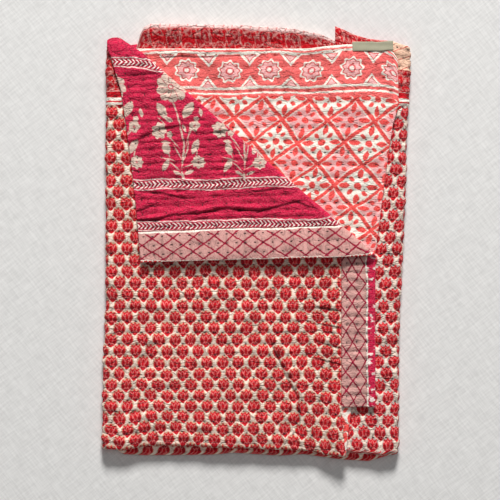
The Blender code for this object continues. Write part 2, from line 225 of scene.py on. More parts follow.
def smooth(value):
    """Soft step from 0 to 1."""
    value = np.clip(value, 0.0, 1.0)
    return value * value * (3 - 2 * value)


def ramp(value, start, length):
    return smooth((value - start) / length)


def line(rows, at):
    return np.interp(at, [row[0] for row in rows], [row[1] for row in rows])


def mix(one, two, share):
    return one + (two - one) * share


def metres(x, y, height):
    """Points from the object's origin, from plan places and heights."""
    return np.stack(((x - CENTRE[0]) * UNIT, (CENTRE[1] - y) * UNIT, height), axis=-1)


def waves(x, y, size, seed, count=7):
    """Smooth unevenness between about -1 and 1, with features of the given size in plan units."""
    rng = np.random.default_rng(seed)
    total = 0.0
    for _ in range(count):
        turn, phase = rng.uniform(0, 2 * math.pi, 2)
        length = size * rng.uniform(0.7, 1.6)
        total = total + np.sin(2 * math.pi * (x * math.cos(turn) + y * math.sin(turn)) / length + phase)
    return total / math.sqrt(count)


def unevenness(x, y):
    """Share by which the pile's height is out of level, and full at the lengthwise folds."""
    u, v = (x - PILE_CORNER[0]) / PILE_SIZE[0], (y - PILE_CORNER[1]) / PILE_SIZE[1]
    total = sum(
        share * np.sin(2 * math.pi * (across * u + down * v) + phase) for across, down, phase, share in UNEVEN
    )
    side = np.minimum(x - line(LEFT_FOLD, y), line(RIGHT_FOLD, y) - x)
    return total + FOLD_LOFT * smooth(1 - side / LOFT_WIDTH)


def rise_over_return(x, y):
    return (PACKET + GAP) * ramp(x - line(RETURN_SIDE, y), *CLIMB)


def panel_plan(across, y, turned, depth):
    """Plan x, height and unrolled x of a place, from its depth in the packet of two leaves."""
    left = line(LEFT_FOLD, y) + PIVOT / UNIT
    right = line(RIGHT_FOLD, y) - PIVOT / UNIT
    free = mix(line(OVER_SIDE_OUTER, y), line(OVER_SIDE_INNER, y), turned)
    radius = PIVOT - depth
    bend_left = math.pi * np.clip((across - OVER) / BEND, 0, 1)
    bend_right = math.pi * np.clip((across - BASE_0 - BASE) / BEND, 0, 1)
    over = free - across + np.clip(across, 0, OVER) * (OVER - free + left) / OVER
    base = left + (right - left) * (across - BASE_0) / BASE
    back = right + (line(RETURN_SIDE, y) - right) * (across - RETURN_0) / RETURN
    x = np.where(across <= OVER, over, left - radius * np.sin(bend_left) / UNIT)
    x = np.where(across > BASE_0, base, x)
    x = np.where(across > BASE_0 + BASE, right + radius * np.sin(bend_right) / UNIT, x)
    x = np.where(across > RETURN_0, back, x)
    middle = across > BASE_0 + BASE / 2
    height = PIVOT + radius * np.where(middle, -np.cos(bend_right), np.cos(bend_left))
    leaf_radius = mix(PIVOT - CLOTH / 2, GAP / 2 + CLOTH / 2, turned) / UNIT
    unrolled = np.where(across <= OVER, over, left - leaf_radius * bend_left)
    unrolled = np.where(across > BASE_0, left - leaf_radius * math.pi - (base - left), unrolled)
    far = left - leaf_radius * math.pi - (right - left)
    unrolled = np.where(across > BASE_0 + BASE, far - leaf_radius * bend_right, unrolled)
    unrolled = np.where(across > RETURN_0, far - leaf_radius * math.pi - (right - back), unrolled)
    return x, height, unrolled


def swing(x, y):
    """How far the turned corner's top end swings out over the left fold."""
    return line(SWING, y) * (1 - ramp(x, *SWING_ENDS))


def edge_place(x, y):
    """How far a place lies along the turned edge, and out beyond it."""
    dx, dy = x - TURN_AT[0], y - TURN_AT[1]
    return dx * TURN_ALONG[0] + dy * TURN_ALONG[1], dx * TURN_OUT[0] + dy * TURN_OUT[1]


def plan_place(along, out):
    """The plan place of a place given from the turned edge."""
    return tuple(TURN_AT[i] + along * TURN_ALONG[i] + out * TURN_OUT[i] for i in (0, 1))


def turn_back(x, y, height, raised):
    """Rolls and lays back the corner beyond the turned edge. raised is the place's offset upwards."""
    along, out = edge_place(x, y)
    radius = ROLL_RADIUS + ROLL_OPENING * ramp(along, *OPENS_ALONG)
    inset = (radius + CLOTH / 2) / UNIT
    out = out + inset
    angle = math.pi * np.clip(out / ROLL, 0, 1)
    laid = np.maximum(out - ROLL, 0)
    reach = np.where(out < 0, out, 0) + (radius - raised) * np.sin(angle) / UNIT - LAID_SHARE * laid
    along = along + LAID_SLIP * laid
    new_x, new_y = plan_place(along, reach - inset)
    new_x = new_x - swing(new_x, new_y) * smooth(out / ROLL)
    lift = radius - (radius - raised) * np.cos(angle) - raised
    turned = out > 0
    return np.where(turned, new_x, x), np.where(turned, new_y, y), height + lift * turned


def laid_place(x, y):
    """Where the turned corner's print lies, in plan units, from a flat place of the outer leaf."""
    along, out = edge_place(x, y)
    inset = (ROLL_RADIUS + CLOTH / 2) / UNIT
    laid = out + inset - ROLL
    laid_x, laid_y = plan_place(along + LAID_SLIP * laid, -LAID_SHARE * laid - inset)
    return laid_x - swing(laid_x, laid_y), laid_y


def fold(across, down, offset, rise=0.0):
    """Points in metres of flat places moved into the pile, and the places' prints (outer, inner face).

    offset is measured towards the outer, tulip-printed face. rise is a wrinkle's height upwards.
    """
    turned = np.clip((down - OUTER) / CREASE, 0, 1)
    angle = math.pi * turned
    y = np.where(down <= OUTER, OUTER_HEM + down, CREASE_Y)
    y = np.where(down >= OUTER + CREASE, INNER_HEM + DOWN - down, y)
    radius = (CLOTH + GAP) / 2 + offset
    depth = PACKET / 2 - radius * np.cos(angle)
    x, height, unrolled = panel_plan(across, y, turned, depth)
    arc = (CLOTH + GAP) / 2 / UNIT
    print_outer = (unrolled, np.where(turned < 0.5, y, 2 * CREASE_Y - y) + arc * angle)
    over = across <= OVER
    laid_x, laid_y = laid_place(x, y)
    leaf_outer = over & (turned < 0.5)
    print_inner = (np.where(leaf_outer, laid_x, x), np.where(leaf_outer, laid_y, y))

    hem_y = mix(OUTER_HEM, INNER_HEM, turned > 0.5)
    hem = np.where(turned > 0.5, line(INNER_HEM_LINE, across), line(OUTER_HEM_LINE, across))
    near_hem = (1 - np.clip((y - hem_y) / REACH, 0, 1)) ** 2
    near_crease = (1 - np.clip((CREASE_Y - y) / REACH, 0, 1)) ** 2
    crease = line(CREASE_LINE, across) - PACKET / 2 / UNIT - CREASE_Y
    y = y + (hem - hem_y) * near_hem + crease * near_crease + radius * np.sin(angle) / UNIT

    raised = np.where(over, np.cos(angle) * offset, 0)
    x, y, height = np.where(over & (turned == 0), turn_back(x, y, height, raised), (x, y, height))
    height = height + np.where(over, rise_over_return(x, y), 0)
    sag = SAG * ramp(x - line(OVER_SIDE_INNER, y), *SAG_BEYOND) * ramp(y, *SAG_BELOW)
    height = height - np.where(over & (turned == 0), sag, 0)
    margin = ramp(-y, *MARGIN_HEM) * ramp(x, *MARGIN_LEFT) * ramp(-x, *MARGIN_RIGHT)
    inner = ramp(depth, PACKET / 2, PACKET / 4)
    base = (across > BASE_0) & (across < BASE_0 + BASE)
    height = height + np.where(base, MARGIN_CURL * margin * inner, 0)
    height = (height + rise) * (1 + unevenness(x, y))
    return metres(x, y, height), np.stack(print_outer, axis=-1), np.stack(print_inner, axis=-1)


def corner_out(across, down):
    """How far a flat place is beyond the turned edge, in plan units."""
    return edge_place(OVER_SIDE_OUTER[0][1] - across, OUTER_HEM + down)[1]


def front_bare(across, down, spare=0):
    """Where the turned corner doesn't cover the outer leaf."""
    return (down > FLAP_END) | (across > 190 + spare - 0.14 * down)


def coral_bare(across, down, spare=0):
    """Where the turned corner leaves the inner leaf open to view."""
    return (across < CORAL_SIDE) & (across < 218 + spare - 0.83 * (DOWN - down))


def part_of(across, down, band=False):
    """Masks of the parts that show, from flat places."""
    turned = (corner_out(across, down) > ROLL) & (down < OUTER) & (across < OVER)
    if band:
        return {"band_turned": turned, "band": ~turned}
    outer = down < OUTER + CREASE / 2
    return {
        "turned": turned,
        "front": outer & ~turned & ((across < OVER + BEND) | (across > BASE_0 + BASE)),
        "coral": ~outer & (across < OVER),
    }


def along_axis(axis, across, down):
    return {"across": across, "down": down, "up": DOWN - down}[axis]


def nearest_thread(name, across, down):
    """Distances from the nearest thread's middle: across its row, and along it."""
    kind = QUILTING[name]
    axis, row, first = kind["rows"]
    over = along_axis(axis, across, down)
    index = np.round((over - first) / row)
    along = along_axis("down" if axis == "across" else "across", across, down)
    along = along - kind["first"] - kind["shift"] * index
    return over - first - row * index, along - kind["pitch"] * np.round(along / kind["pitch"])


def quilting(name, across, down):
    """Height of the puffs between the valleys, with a dimple and a pucker at each thread."""
    kind = QUILTING[name]
    axis, pitch, first = kind["valleys"]
    over = along_axis(axis, across, down) + 0.8 * waves(across, down, 48, 3)
    valley = np.abs(np.sin(math.pi * (over - first) / pitch))
    beside, along = nearest_thread(name, across, down)
    dimple = np.exp(-((beside / 1.9) ** 2) - (along / 2.6) ** 2)
    pucker = np.exp(-((beside / 4.2) ** 2)) * np.cos(2 * math.pi * along / kind["pitch"])
    strength = 0.95 + 0.34 * waves(across, down, 30, 5)
    crinkle = 0.15 * waves(across, down, 9, 11) + 0.17 * waves(across, down, 17, 12)
    return kind["depth"] * (strength * (valley ** 0.6 - 0.16 * pucker) - 0.55 * dimple + crinkle)


def wrinkle(name, x, y):
    """Rise in metres of the listed creases of one part: steep towards the near side."""
    total = np.zeros_like(x)
    for x0, y0, x1, y1, rise, half in WRINKLES.get(name, ()):
        dx, dy = x1 - x0, y1 - y0
        length = math.hypot(dx, dy)
        share = np.clip(((x - x0) * dx + (y - y0) * dy) / length**2, 0, 1)
        far = np.hypot(x - x0 - share * dx, y - y0 - share * dy)
        below = dx * (y - y0) - dy * (x - x0) > 0
        crest = np.exp(-((far / np.where(below, 0.4 * half, half)) ** 2))
        trough = np.where(below, np.exp(-(((far - 0.95 * half) / (0.5 * half)) ** 2)), 0)
        total = total + rise * 0.001 * (crest - 0.45 * trough)
    return total


def hem_share(edge):
    """Share of the cloth's half thickness at a distance from its edge: round, then filling out."""
    return 0.22 + 0.44 * np.sqrt(np.clip(edge / 1.1, 0, 1)) + 0.34 * smooth(edge / 7)


def cloth_points(across, down, side, band=False):
    """Places of the finished cloth: its thickness, puffs, creases and folds. side is 1 outside, -1 inside."""
    if band:
        edge = np.minimum(-across - SEAM_GAP / UNIT, across + BAND_WIDTH)
        edge = np.minimum(edge, np.minimum(down, BAND_LENGTH - down))
    else:
        edge = np.minimum(np.minimum(across, ACROSS - across), np.minimum(down, DOWN - down))
    half = CLOTH / 2 * hem_share(edge)
    out = corner_out(across, down)
    rise = SWELL * waves(across, down, 60, 21) * smooth(edge / 40) * smooth(np.abs(out - ROLL) / 25)
    swells = (across < OVER) & (down < OUTER) | (down > OUTER + CREASE) & (across < CORAL_SIDE)
    rise = np.where(swells, rise, 0.0)
    puff = np.ones_like(across)
    plain, _, _ = fold(across, down, 0 * across)
    x, y = plain[..., 0] / UNIT + CENTRE[0], CENTRE[1] - plain[..., 1] / UNIT
    for name, mask in part_of(across, down, band).items():
        kind = "band" if band else name
        shows = (side < 0) == (name in INNER_PARTS)
        ease = smooth((edge - 1.5) / 5)
        relief = quilting(kind, across, down)
        # puff keeps the share of the quilting relief; the cotton materials darken low puff as painted shade
        # in valleys and thread dimples.
        puff = np.where(mask & shows, mix(1.0, relief / QUILTING[kind]["depth"], ease), puff)
        puffs = relief - 0.45 * QUILTING[kind]["depth"]
        half = np.where(mask, half + np.where(shows, 1.0, 0.25) * puffs * ease, half)
        rise = np.where(mask, rise + wrinkle(name.replace("band_", ""), x, y), rise)
        if "turned" in name:
            lift = HEM_LIFT * smooth((20 - across) / 55) * smooth((out - ROLL) / 40)
            rise = np.where(mask, rise + lift, rise)
    resting = (down < OUTER) & (across > BASE_0) & (across < BASE_0 + BASE)
    half = np.where(resting & (side > 0), CLOTH / 2, half)
    points, outer, inner = fold(across, down, side * half, rise)
    points[..., 2] = np.maximum(points[..., 2], 0.0)
    return points, outer, inner, np.clip(puff, 0, 1)


# Flat meshes.


def steps(first, last, spacing):
    count = max(1, round((last - first) / spacing))
    return [first + (last - first) * i / count for i in range(count + 1)]


def grid(across_lines, down_lines):
    mesh = bmesh.new()
    bmesh.ops.create_grid(
        mesh, x_segments=len(across_lines) - 1, y_segments=len(down_lines) - 1, size=1
    )
    for vert in mesh.verts:
        vert.co.x = across_lines[round((vert.co.x + 1) / 2 * (len(across_lines) - 1))]
        vert.co.y = down_lines[round((vert.co.y + 1) / 2 * (len(down_lines) - 1))]
    return mesh


def refine(mesh, within, across_lines=(), down_lines=(), corner_lines=()):
    """Cuts the faces of a region along more lines."""
    middles = [(face, face.calc_center_median()) for face in mesh.faces]
    faces = [face for face, middle in middles if within(middle.x, middle.y)]
    edges = dict.fromkeys(edge for face in faces for edge in face.edges)
    verts = dict.fromkeys(vert for face in faces for vert in face.verts)
    geometry = [*faces, *edges, *verts]
    cuts = [((place, 0), (1, 0)) for place in across_lines]
    cuts += [((0, place), (0, 1)) for place in down_lines]
    for out in corner_lines:
        x, y = plan_place(0, out)
        cuts.append(((OVER_SIDE_OUTER[0][1] - x, y - OUTER_HEM), (-TURN_OUT[0], TURN_OUT[1])))
    for place, normal in cuts:
        geometry = bmesh.ops.bisect_plane(
            mesh, geom=geometry, dist=0.01, plane_co=(*place, 0), plane_no=(*normal, 0)
        )["geom"]


HEM_STEPS = [0, 0.35, 1.1, 2.6, 5]


def with_hems(size, inner):
    """Grid lines close together at both hems, and the inner ones given."""
    return HEM_STEPS + inner + [size - s for s in reversed(HEM_STEPS)]


def flat_quilt():
    """The opened quilt, finer where it shows and where it bends."""
    across = steps(12, OVER - 7, 12) + steps(OVER, BASE_0, BEND / 9)
    across += steps(BASE_0 + 8, BASE_0 + BASE - 8, 14) + steps(BASE_0 + BASE, RETURN_0, BEND / 9)
    across += steps(RETURN_0 + 8, ACROSS - 10, 9)
    down = steps(12, OUTER - 7, 12) + steps(OUTER, OUTER + CREASE, CREASE / 7)
    down += steps(OUTER + CREASE + 7, DOWN - 12, 10)
    mesh = grid(with_hems(ACROSS, across), with_hems(DOWN, down))
    roll = steps(-3.6, ROLL - 3.2, 1.05)
    refine(mesh, lambda a, d: a < OVER and d < OUTER and corner_out(a, d) > -14, corner_lines=roll)
    refine(
        mesh, lambda a, d: a < OVER and d < OUTER and corner_out(a, d) > 5,
        steps(0, OVER, 1.45), steps(0, OUTER, 4.4),
    )
    refine(
        mesh,
        lambda a, d: d < OUTER and a < OVER and corner_out(a, d) < -3.4 and front_bare(a, d, 2),
        steps(0, OVER, 3.8), steps(0, OUTER, 2.05),
    )
    refine(mesh, lambda a, d: OVER < a < BASE_0 and d < OUTER, (), steps(0, OUTER, 2.8))
    refine(mesh, lambda a, d: 30 < a < 72 and 304 < d < 396, steps(30, 72, 1.5))
    refine(
        mesh, lambda a, d: d > OUTER + CREASE and coral_bare(a, d, 4),
        steps(0, OVER, 3.4), steps(OUTER + CREASE, DOWN, 2.3),
    )
    refine(
        mesh, lambda a, d: DOWN - d < 34 and BASE_0 + 12 < a < BASE_0 + 236,
        steps(BASE_0, BASE_0 + BASE, 3.4), steps(DOWN - 36, DOWN, 2.0),
    )
    refine(
        mesh, lambda a, d: d < OUTER and BASE_0 + BASE < a < RETURN_0 + 46 or a > RETURN_0 and d < 30,
        steps(RETURN_0, ACROSS, 3.6), steps(0, OUTER, 2.4),
    )
    refine(mesh, lambda a, d: abs(d - OUTER - CREASE / 2) < 10, steps(0, ACROSS, 4.0), ())
    return mesh


def flat_band():
    """The opened band, which lies beyond the quilt's side at negative places."""
    seam = -SEAM_GAP / UNIT
    across = [-BAND_WIDTH + s for s in HEM_STEPS] + steps(-BAND_WIDTH + 7, seam - 7, 1.4)
    across += [seam - s for s in reversed(HEM_STEPS)]
    mesh = grid(across, with_hems(BAND_LENGTH, steps(11, BAND_LENGTH - 11, 3.4)))
    refine(mesh, lambda a, d: abs(corner_out(a, d)) < 16, corner_lines=steps(-3.6, ROLL - 3.2, 0.9))
    refine(mesh, lambda a, d: corner_out(a, d) < -4, (), steps(200, BAND_LENGTH, 1.45))
    return mesh


def put_in_scene(name, data):
    obj = bpy.data.objects.new(name, data)
    bpy.context.scene.collection.objects.link(obj)
    return obj


def plain_mesh(source):
    """The mesh of an object with its modifiers applied. The object goes."""
    graph = bpy.context.evaluated_depsgraph_get()
    made = bpy.data.meshes.new_from_object(source.evaluated_get(graph))
    bpy.data.objects.remove(source)
    return made


def thicken(mesh):
    """A closed shell of a flat mesh, with its outer face up."""
    data = bpy.data.meshes.new("flat_cloth")
    mesh.to_mesh(data)
    mesh.free()
    flat = put_in_scene("flat_cloth", data)
    modifier = flat.modifiers.new("Thickness", "SOLIDIFY")
    modifier.thickness = 2.0
    modifier.offset = 0
    return plain_mesh(flat)


def finish_shell(name, solid):
    """An object of a shell that is smooth and has its faces outwards."""
    solid.shade_smooth()
    work = bmesh.new()
    work.from_mesh(solid)
    if work.calc_volume(signed=True) < 0:
        bmesh.ops.reverse_faces(work, faces=work.faces[:])
    work.to_mesh(solid)
    work.free()
    solid.name = name
    return put_in_scene(name, solid)


def read(rows, name, kind=np.int32, wide=1):
    """One property of all the given parts of a mesh."""
    values = np.empty(len(rows) * wide, kind)
    rows.foreach_get(name, values)
    return values


def write(rows, name, values, kind=np.float32):
    rows.foreach_set(name, values.astype(kind).ravel())


def flat_places(solid):
    across, down, side = read(solid.vertices, "co", float, 3).reshape(-1, 3).T
    return across, down, np.sign(side)


def lay_cloth(name, solid, band=False):
    """Folds a thick flat mesh, and gives it its print places and one material for each printed face."""
    across, down, side = flat_places(solid)
    points, outer, inner, puff = cloth_points(across, down, side, band)
    write(solid.vertices, "co", points)
    corners = read(solid.loops, "vertex_index")
    starts, totals = read(solid.polygons, "loop_start"), read(solid.polygons, "loop_total")
    face_side = np.add.reduceat(side[corners], starts) / totals
    loop_side = np.repeat(face_side, totals)
    place = np.where(loop_side[:, None] < -0.5, inner[corners], outer[corners])
    if band:
        place = np.stack((-across, OUTER_HEM + down), axis=-1)[corners]
    write(solid.uv_layers.new(name="print").data, "uv", place / PRINT_SCALE)
    # The puff attribute drives painted shade in the quilting's valleys and thread dimples.
    write(solid.attributes.new("puff", "FLOAT", "POINT").data, "value", puff)
    leaf = np.add.reduceat(down[corners], starts) / totals > OUTER + CREASE / 2
    write(solid.polygons, "material_index", np.where(face_side < -0.5, np.where(leaf, 2, 1), 0), np.int32)
    return finish_shell(name, solid)


# Printed patterns, drawn with shader nodes.

# Creases whose near-side bottoms each cotton material darkens as painted shade and dents in its bump.
SHARP_CREASES = {
    "tulip_cotton": WRINKLES["front"][:7], "crimson_cotton": WRINKLES["turned"],
    "coral_cotton": WRINKLES["coral"][:1],
}


class Field:
    """A number or a place that changes over the cloth. Arithmetic on it makes shader nodes."""

    def __init__(self, draw, socket):
        self.draw = draw
        self.socket = socket

    def beside(self, output):
        """Another output of the same node."""
        return Field(self.draw, self.socket.node.outputs[output])

    def __add__(self, other):
        return self.draw.math("ADD", self, other)

    def __sub__(self, other):
        return self.draw.math("SUBTRACT", self, other)

    def __rsub__(self, other):
        return self.draw.math("SUBTRACT", other, self)

    def __mul__(self, other):
        return self.draw.math("MULTIPLY", self, other)

    def __mod__(self, period):
        return self.draw.math("WRAP", self, period, 0.0)

    def __abs__(self):
        return self.draw.math("ABSOLUTE", self)

    __radd__, __rmul__ = __add__, __mul__


class Drawing:
    """Draws block-printed motifs in a node tree. Distances are in plan units, negative inside."""

    def __init__(self, tree, place=None):
        self.tree = tree
        self.place = place

    def feed(self, node, given):
        """Links or sets a node's inputs, given in order or by name."""
        for slot, value in given.items() if isinstance(given, dict) else enumerate(given):
            if isinstance(value, Field):
                self.tree.links.new(value.socket, node.inputs[slot])
            else:
                node.inputs[slot].default_value = value

    def made(self, kind, given=(), output=0, **settings):
        """One output of a new node."""
        node = self.tree.nodes.new(kind)
        for name, value in settings.items():
            setattr(node, name, value)
        self.feed(node, given)
        return Field(self, node.outputs[output])

    def group(self, tree, given, output):
        made = self.made("ShaderNodeGroup", node_tree=tree)
        self.feed(made.socket.node, given)
        return made.beside(output)

    def math(self, operation, *values, clamp=False):
        return self.made("ShaderNodeMath", values, operation=operation, use_clamp=clamp)

    def vector(self, operation, *values):
        output = "Value" if operation == "LENGTH" else "Vector"
        return self.made("ShaderNodeVectorMath", values, output, operation=operation)

    def noise(self, place, scale, detail=2.0, output="Fac", across="2D"):
        given = {"Vector": place, "Scale": scale, "Detail": detail}
        return self.made("ShaderNodeTexNoise", given, output, noise_dimensions=across)

    def split(self, place):
        x = self.made("ShaderNodeSeparateXYZ", (place,))
        return x, x.beside(1)

    def join(self, *values):
        return self.made("ShaderNodeCombineXYZ", values)

    def local(self, place, centre, turn=0.0, size=(1.0, 1.0)):
        """The place as seen from a motif's own centre, turn (degrees) and size."""
        given = (place, (*centre, 0), (0, 0, math.radians(turn)), (*size, 1))
        return self.made("ShaderNodeMapping", given, vector_type="TEXTURE")

    def repeat(self, place, period, shift=(0, 0)):
        """The place in a cell that repeats, measured from the cell's middle."""
        made = self.vector("ADD", place, (period[0] / 2 - shift[0], period[1] / 2 - shift[1], 0))
        made = self.vector("WRAP", made, (*period, 1), (0, 0, 0))
        return self.vector("SUBTRACT", made, (period[0] / 2, period[1] / 2, 0))

    def ellipse(self, place, centre, size, turn=0.0):
        length = self.vector("LENGTH", self.local(place, centre, turn, size))
        return length * min(size) - min(size)

    def leaf(self, place, centre, size, turn=0.0):
        """A shape with two pointed ends. size is its half length and half width."""
        made = self.local(place, centre, turn, (size[0], size[1] / 0.5))
        made = self.vector("ADD", self.vector("ABSOLUTE", made), (0, 0.75, 0))
        return self.vector("LENGTH", made) * (size[1] * 2) - size[1] * 2.5

    def shapes(self, place, leaves=(), ellipses=()):
        """One shape of many: rows of x, y, half length, half width and turn."""
        found = [self.leaf(place, row[:2], row[2:4], row[4]) for row in leaves]
        return self.least(found + [self.ellipse(place, row[:2], row[2:4], row[4]) for row in ellipses])

    def polar(self, place, centre=(0, 0)):
        x, y = self.split(self.local(place, centre))
        return self.math("ARCTAN2", y, x), self.vector("LENGTH", self.join(x, y))

    def least(self, fields):
        found = fields[0]
        for field in fields[1:]:
            found = self.math("MINIMUM", found, field)
        return found

    def most(self, one, two):
        return self.math("MAXIMUM", one, two)

    def inside(self, distance, soft=0.45):
        return self.math("MULTIPLY_ADD", distance, -0.5 / soft, 0.5, clamp=True)

    def outline(self, distance, width, soft=0.45):
        return self.inside(abs(distance) - width / 2, soft)

    def bar(self, value, centre, half, soft=0.45):
        """A straight stripe."""
        return self.inside(abs(value - centre) - half, soft)

    def paint(self, under, *layers):
        """Lays pairs of a colour and its mask over a colour, one after another."""
        for colour, mask in layers:
            under = self.made("ShaderNodeMix", {0: mask, 6: under, 7: colour}, 2, data_type="RGBA")
        return under


def tone(red, green, blue):
    """Linear colour of a display colour given from 0 to 255."""
    linear = [((c / 255 + 0.055) / 1.055) ** 2.4 if c > 10 else c / 3294.6 for c in (red, green, blue)]
    return (*linear, 1.0)


RED = tone(210, 18, 32)
DEEP_RED = tone(140, 14, 34)
VEIN = tone(246, 150, 146)
BEIGE = tone(214, 164, 138)
GREY_BEIGE = tone(204, 184, 176)
ARCH = tone(254, 230, 212)
CRIMSON = tone(206, 40, 76)
SPRIG = tone(220, 192, 176)
CHEVRON = tone(250, 228, 220)
LATTICE = tone(212, 160, 152)
LATTICE_LINE = tone(156, 18, 52)
CORAL = tone(244, 86, 82)
CREAM = tone(250, 242, 228)
PINK = tone(250, 184, 182)
PEACH = tone(248, 202, 174)
BLUSH = tone(244, 206, 200)


def tulips(draw, place, ground):
    """Rows of buds set half way between each other, each under a pale arch."""
    shifts = ((0.0, 0.0), (7.95, 11.35))
    cells = [draw.repeat(place, (15.9, 22.7), shift) for shift in shifts]
    colour = ground
    for cell in cells:
        _, y = draw.split(cell)
        arch = draw.outline(draw.ellipse(cell, (0, -0.9), (7.4, 8.3)), 1.8)
        foot = draw.leaf(cell, (0, 8.2), (3.0, 1.1), 90)
        above = draw.inside(y - 3.4, 1.2)
        colour = draw.paint(colour, (ARCH, draw.most(arch * above, draw.inside(foot))))
    for cell in cells:
        _, y = draw.split(cell)
        body = draw.shapes(cell, (
            (0, 1.0, 6.1, 4.0, 90), (0, -5.2, 2.4, 1.2, 90),
            (-3.2, -4.3, 2.5, 1.1, 62), (3.2, -4.3, 2.5, 1.1, 118),
        ), ((0, -0.2, 5.7, 5.5, 0),))
        spear = draw.outline(draw.leaf(cell, (0, -0.8), (3.9, 1.7), 90), 0.5)
        cup = draw.outline(draw.ellipse(cell, (0, -0.2), (3.8, 4.2)), 0.9)
        low = draw.inside(-1.6 - y, 0.8)
        sides = draw.shapes(cell, (
            (-3.0, -2.6, 2.2, 0.45, 68), (3.0, -2.6, 2.2, 0.45, 112),
            (-2.0, 2.6, 1.6, 0.4, 130), (2.0, 2.6, 1.6, 0.4, 50),
        ))
        veins = draw.most(spear, draw.inside(sides, 0.35))
        colour = draw.paint(
            colour, (RED, draw.inside(body)), (DEEP_RED, cup * low * 0.9), (VEIN, veins * 0.78),
        )
    return colour


def swirls(draw, place):
    """A red border filled with scrolled drops and small leaves."""
    tint = tone(242, 198, 186)
    colour = RED
    for shift, turn in (((0, 0), 40), ((15, 9), -130)):
        cell = draw.repeat(place, (30, 19), shift)
        drop = draw.shapes(cell, ((4.5, -3.0, 8.0, 2.9, turn),), ((0, 1.5, 6.6, 4.6, turn),))
        inner = draw.ellipse(cell, (-0.5, 1.7), (4.0, 2.5), turn)
        spray = draw.shapes(cell, (
            (11, -6, 4.0, 1.0, turn + 60), (-11, 5, 4.0, 1.1, turn - 70),
            (9, 6, 3.4, 0.9, turn + 15), (-8, -6, 3.6, 1.0, turn + 95),
        ), ((0.9, 1.5, 1.6, 1.0, turn),))
        marks = draw.most(draw.outline(drop, 0.6), draw.outline(inner, 0.4))
        marks = draw.most(marks, draw.inside(spray))
        colour = draw.paint(colour, (DEEP_RED, draw.inside(drop) * 0.35), (tint, marks * 0.42))
    dots = draw.ellipse(draw.repeat(place, (4.6, 5.2), (2.3, 0)), (0, 0), (0.6, 0.6))
    return draw.paint(colour, (tint, draw.inside(dots) * 0.5))


def outside_print(draw):
    """The outer face: a field of tulips, with a scrolled border and stripes along each end hem."""
    x, y = draw.split(draw.place)
    ground = draw.paint(BEIGE, (GREY_BEIGE, draw.inside(x + 200, 6)))
    border = swirls(draw, draw.place)
    strokes = draw.inside((y * 0.5 + x) % 9.0 - 1.4) * draw.bar(y, 854.0, 1.4)
    colour = draw.paint(
        tulips(draw, draw.place, ground),
        (border, draw.inside(y - 91)), (CREAM, draw.bar(y, 98, 7)),
        (RED, draw.bar(y, 94.5, 3.2)), (RED, draw.bar(y, 101.6, 0.9)),
        # The far end's border, whose hem is a pale turning.
        (border, draw.inside(820.0 - y)), (BLUSH, draw.inside(852.0 - y, 0.8)), (RED, strokes * 0.5),
    )
    # A patched corner where the narrow panel's hem comes out at the right.
    corner = draw.inside(y - 66.0) * draw.bar(x, -208.0, 19.0, 1.0)
    lines = draw.math("FRACT", y * 0.075 + x * 0.055)
    patch = draw.paint(PEACH, (RED, draw.inside(lines * 12.0 - 0.8)))
    return draw.paint(colour, (patch, corner))


def sprig(draw, place):
    """An upright flowering sprig: a round head of turned petals over side flowers, buds and leaves."""
    leaves = (
        (-16, -9, 9.5, 4.4, 58), (-9, -1, 5.2, 2.6, 20), (10, -11, 9.0, 4.6, -60), (23, -8, 4.4, 2.0, 75),
        (-11, 28, 7.0, 3.6, 75), (17, 25, 8.4, 3.6, -62),
        (-12, 21, 4.6, 1.8, 12), (-12, 45, 7.0, 3.0, -62), (7, 7, 4.2, 1.5, 70),
        (11, 52, 5.0, 1.5, -25), (0, 53, 5.0, 1.5, 205), (5, 56, 4.4, 1.4, 80),
    )
    stems = (
        (-3, -13, 5.5, 0.8, 68), (1, -3, 8.0, 0.8, 72), (4, 12, 9.0, 0.8, 82), (5, 32, 16, 0.9, 92),
        (-5, 20, 9.0, 0.6, 52), (0, 33, 9.0, 0.6, 62), (10, 16, 8.0, 0.6, 108), (8, 30, 11, 0.6, 104),
        (14, 9, 5.0, 0.6, 120), (-10, 39, 7.0, 0.6, 20), (-3, 46, 7.0, 0.6, 40), (13, 44, 8.0, 0.6, 152),
        (18, 33, 6.0, 0.6, 100), (-17, 1, 5.0, 0.6, 40), (-9, 33, 5.0, 0.6, 75),
    )
    flowers = (
        (-19, 10, 7.2, 7.0), (17, 5, 5.2, 5.0), (20, 41, 6.4, 8.0), (-8, 13, 3.0, 5.0), (18, -2, 2.6, 5.0),
    )
    shapes = [draw.shapes(place, leaves + stems)]
    for x, y, radius, count in flowers:
        angle, far = draw.polar(place, (x, y))
        scallop = draw.math("COSINE", angle * count)
        shapes.append(far - (scallop * (radius * 0.12) + radius))
    angle, far = draw.polar(place, (-6, -33))
    petals = abs(draw.math("SINE", far * -0.14 + angle * 4.5))
    shapes.append(far - (petals * 2.4 + 13.4))
    found = draw.inside(draw.least(shapes))
    gap = draw.inside(petals * 8.0 - 1.3, 0.8)
    ring = draw.inside(3.4 - far) * draw.inside(far - 11.5, 3.0)
    marks = draw.most(gap * ring, draw.outline(far - 2.2, 0.9))
    for x, y, radius, _ in flowers[:3]:
        marks = draw.most(marks, draw.inside(draw.ellipse(place, (x, y), (1.2, 1.2))) * 0.7)
    return found * (1.0 - marks)


def chevrons(draw, x, y, colour, centre):
    """A stripe of chevrons between two fine lines. y is measured from a line that may wander."""
    far = abs(y - centre)
    mark = draw.inside((x + far) % 4.1 - 1.5, 0.4) * draw.inside(far - 3.2)
    ground = (DEEP_RED, draw.inside(far - 3.6) * 0.6)
    return draw.paint(colour, ground, (CHEVRON, mark), (CHEVRON, draw.bar(far, 4.7, 0.45)))


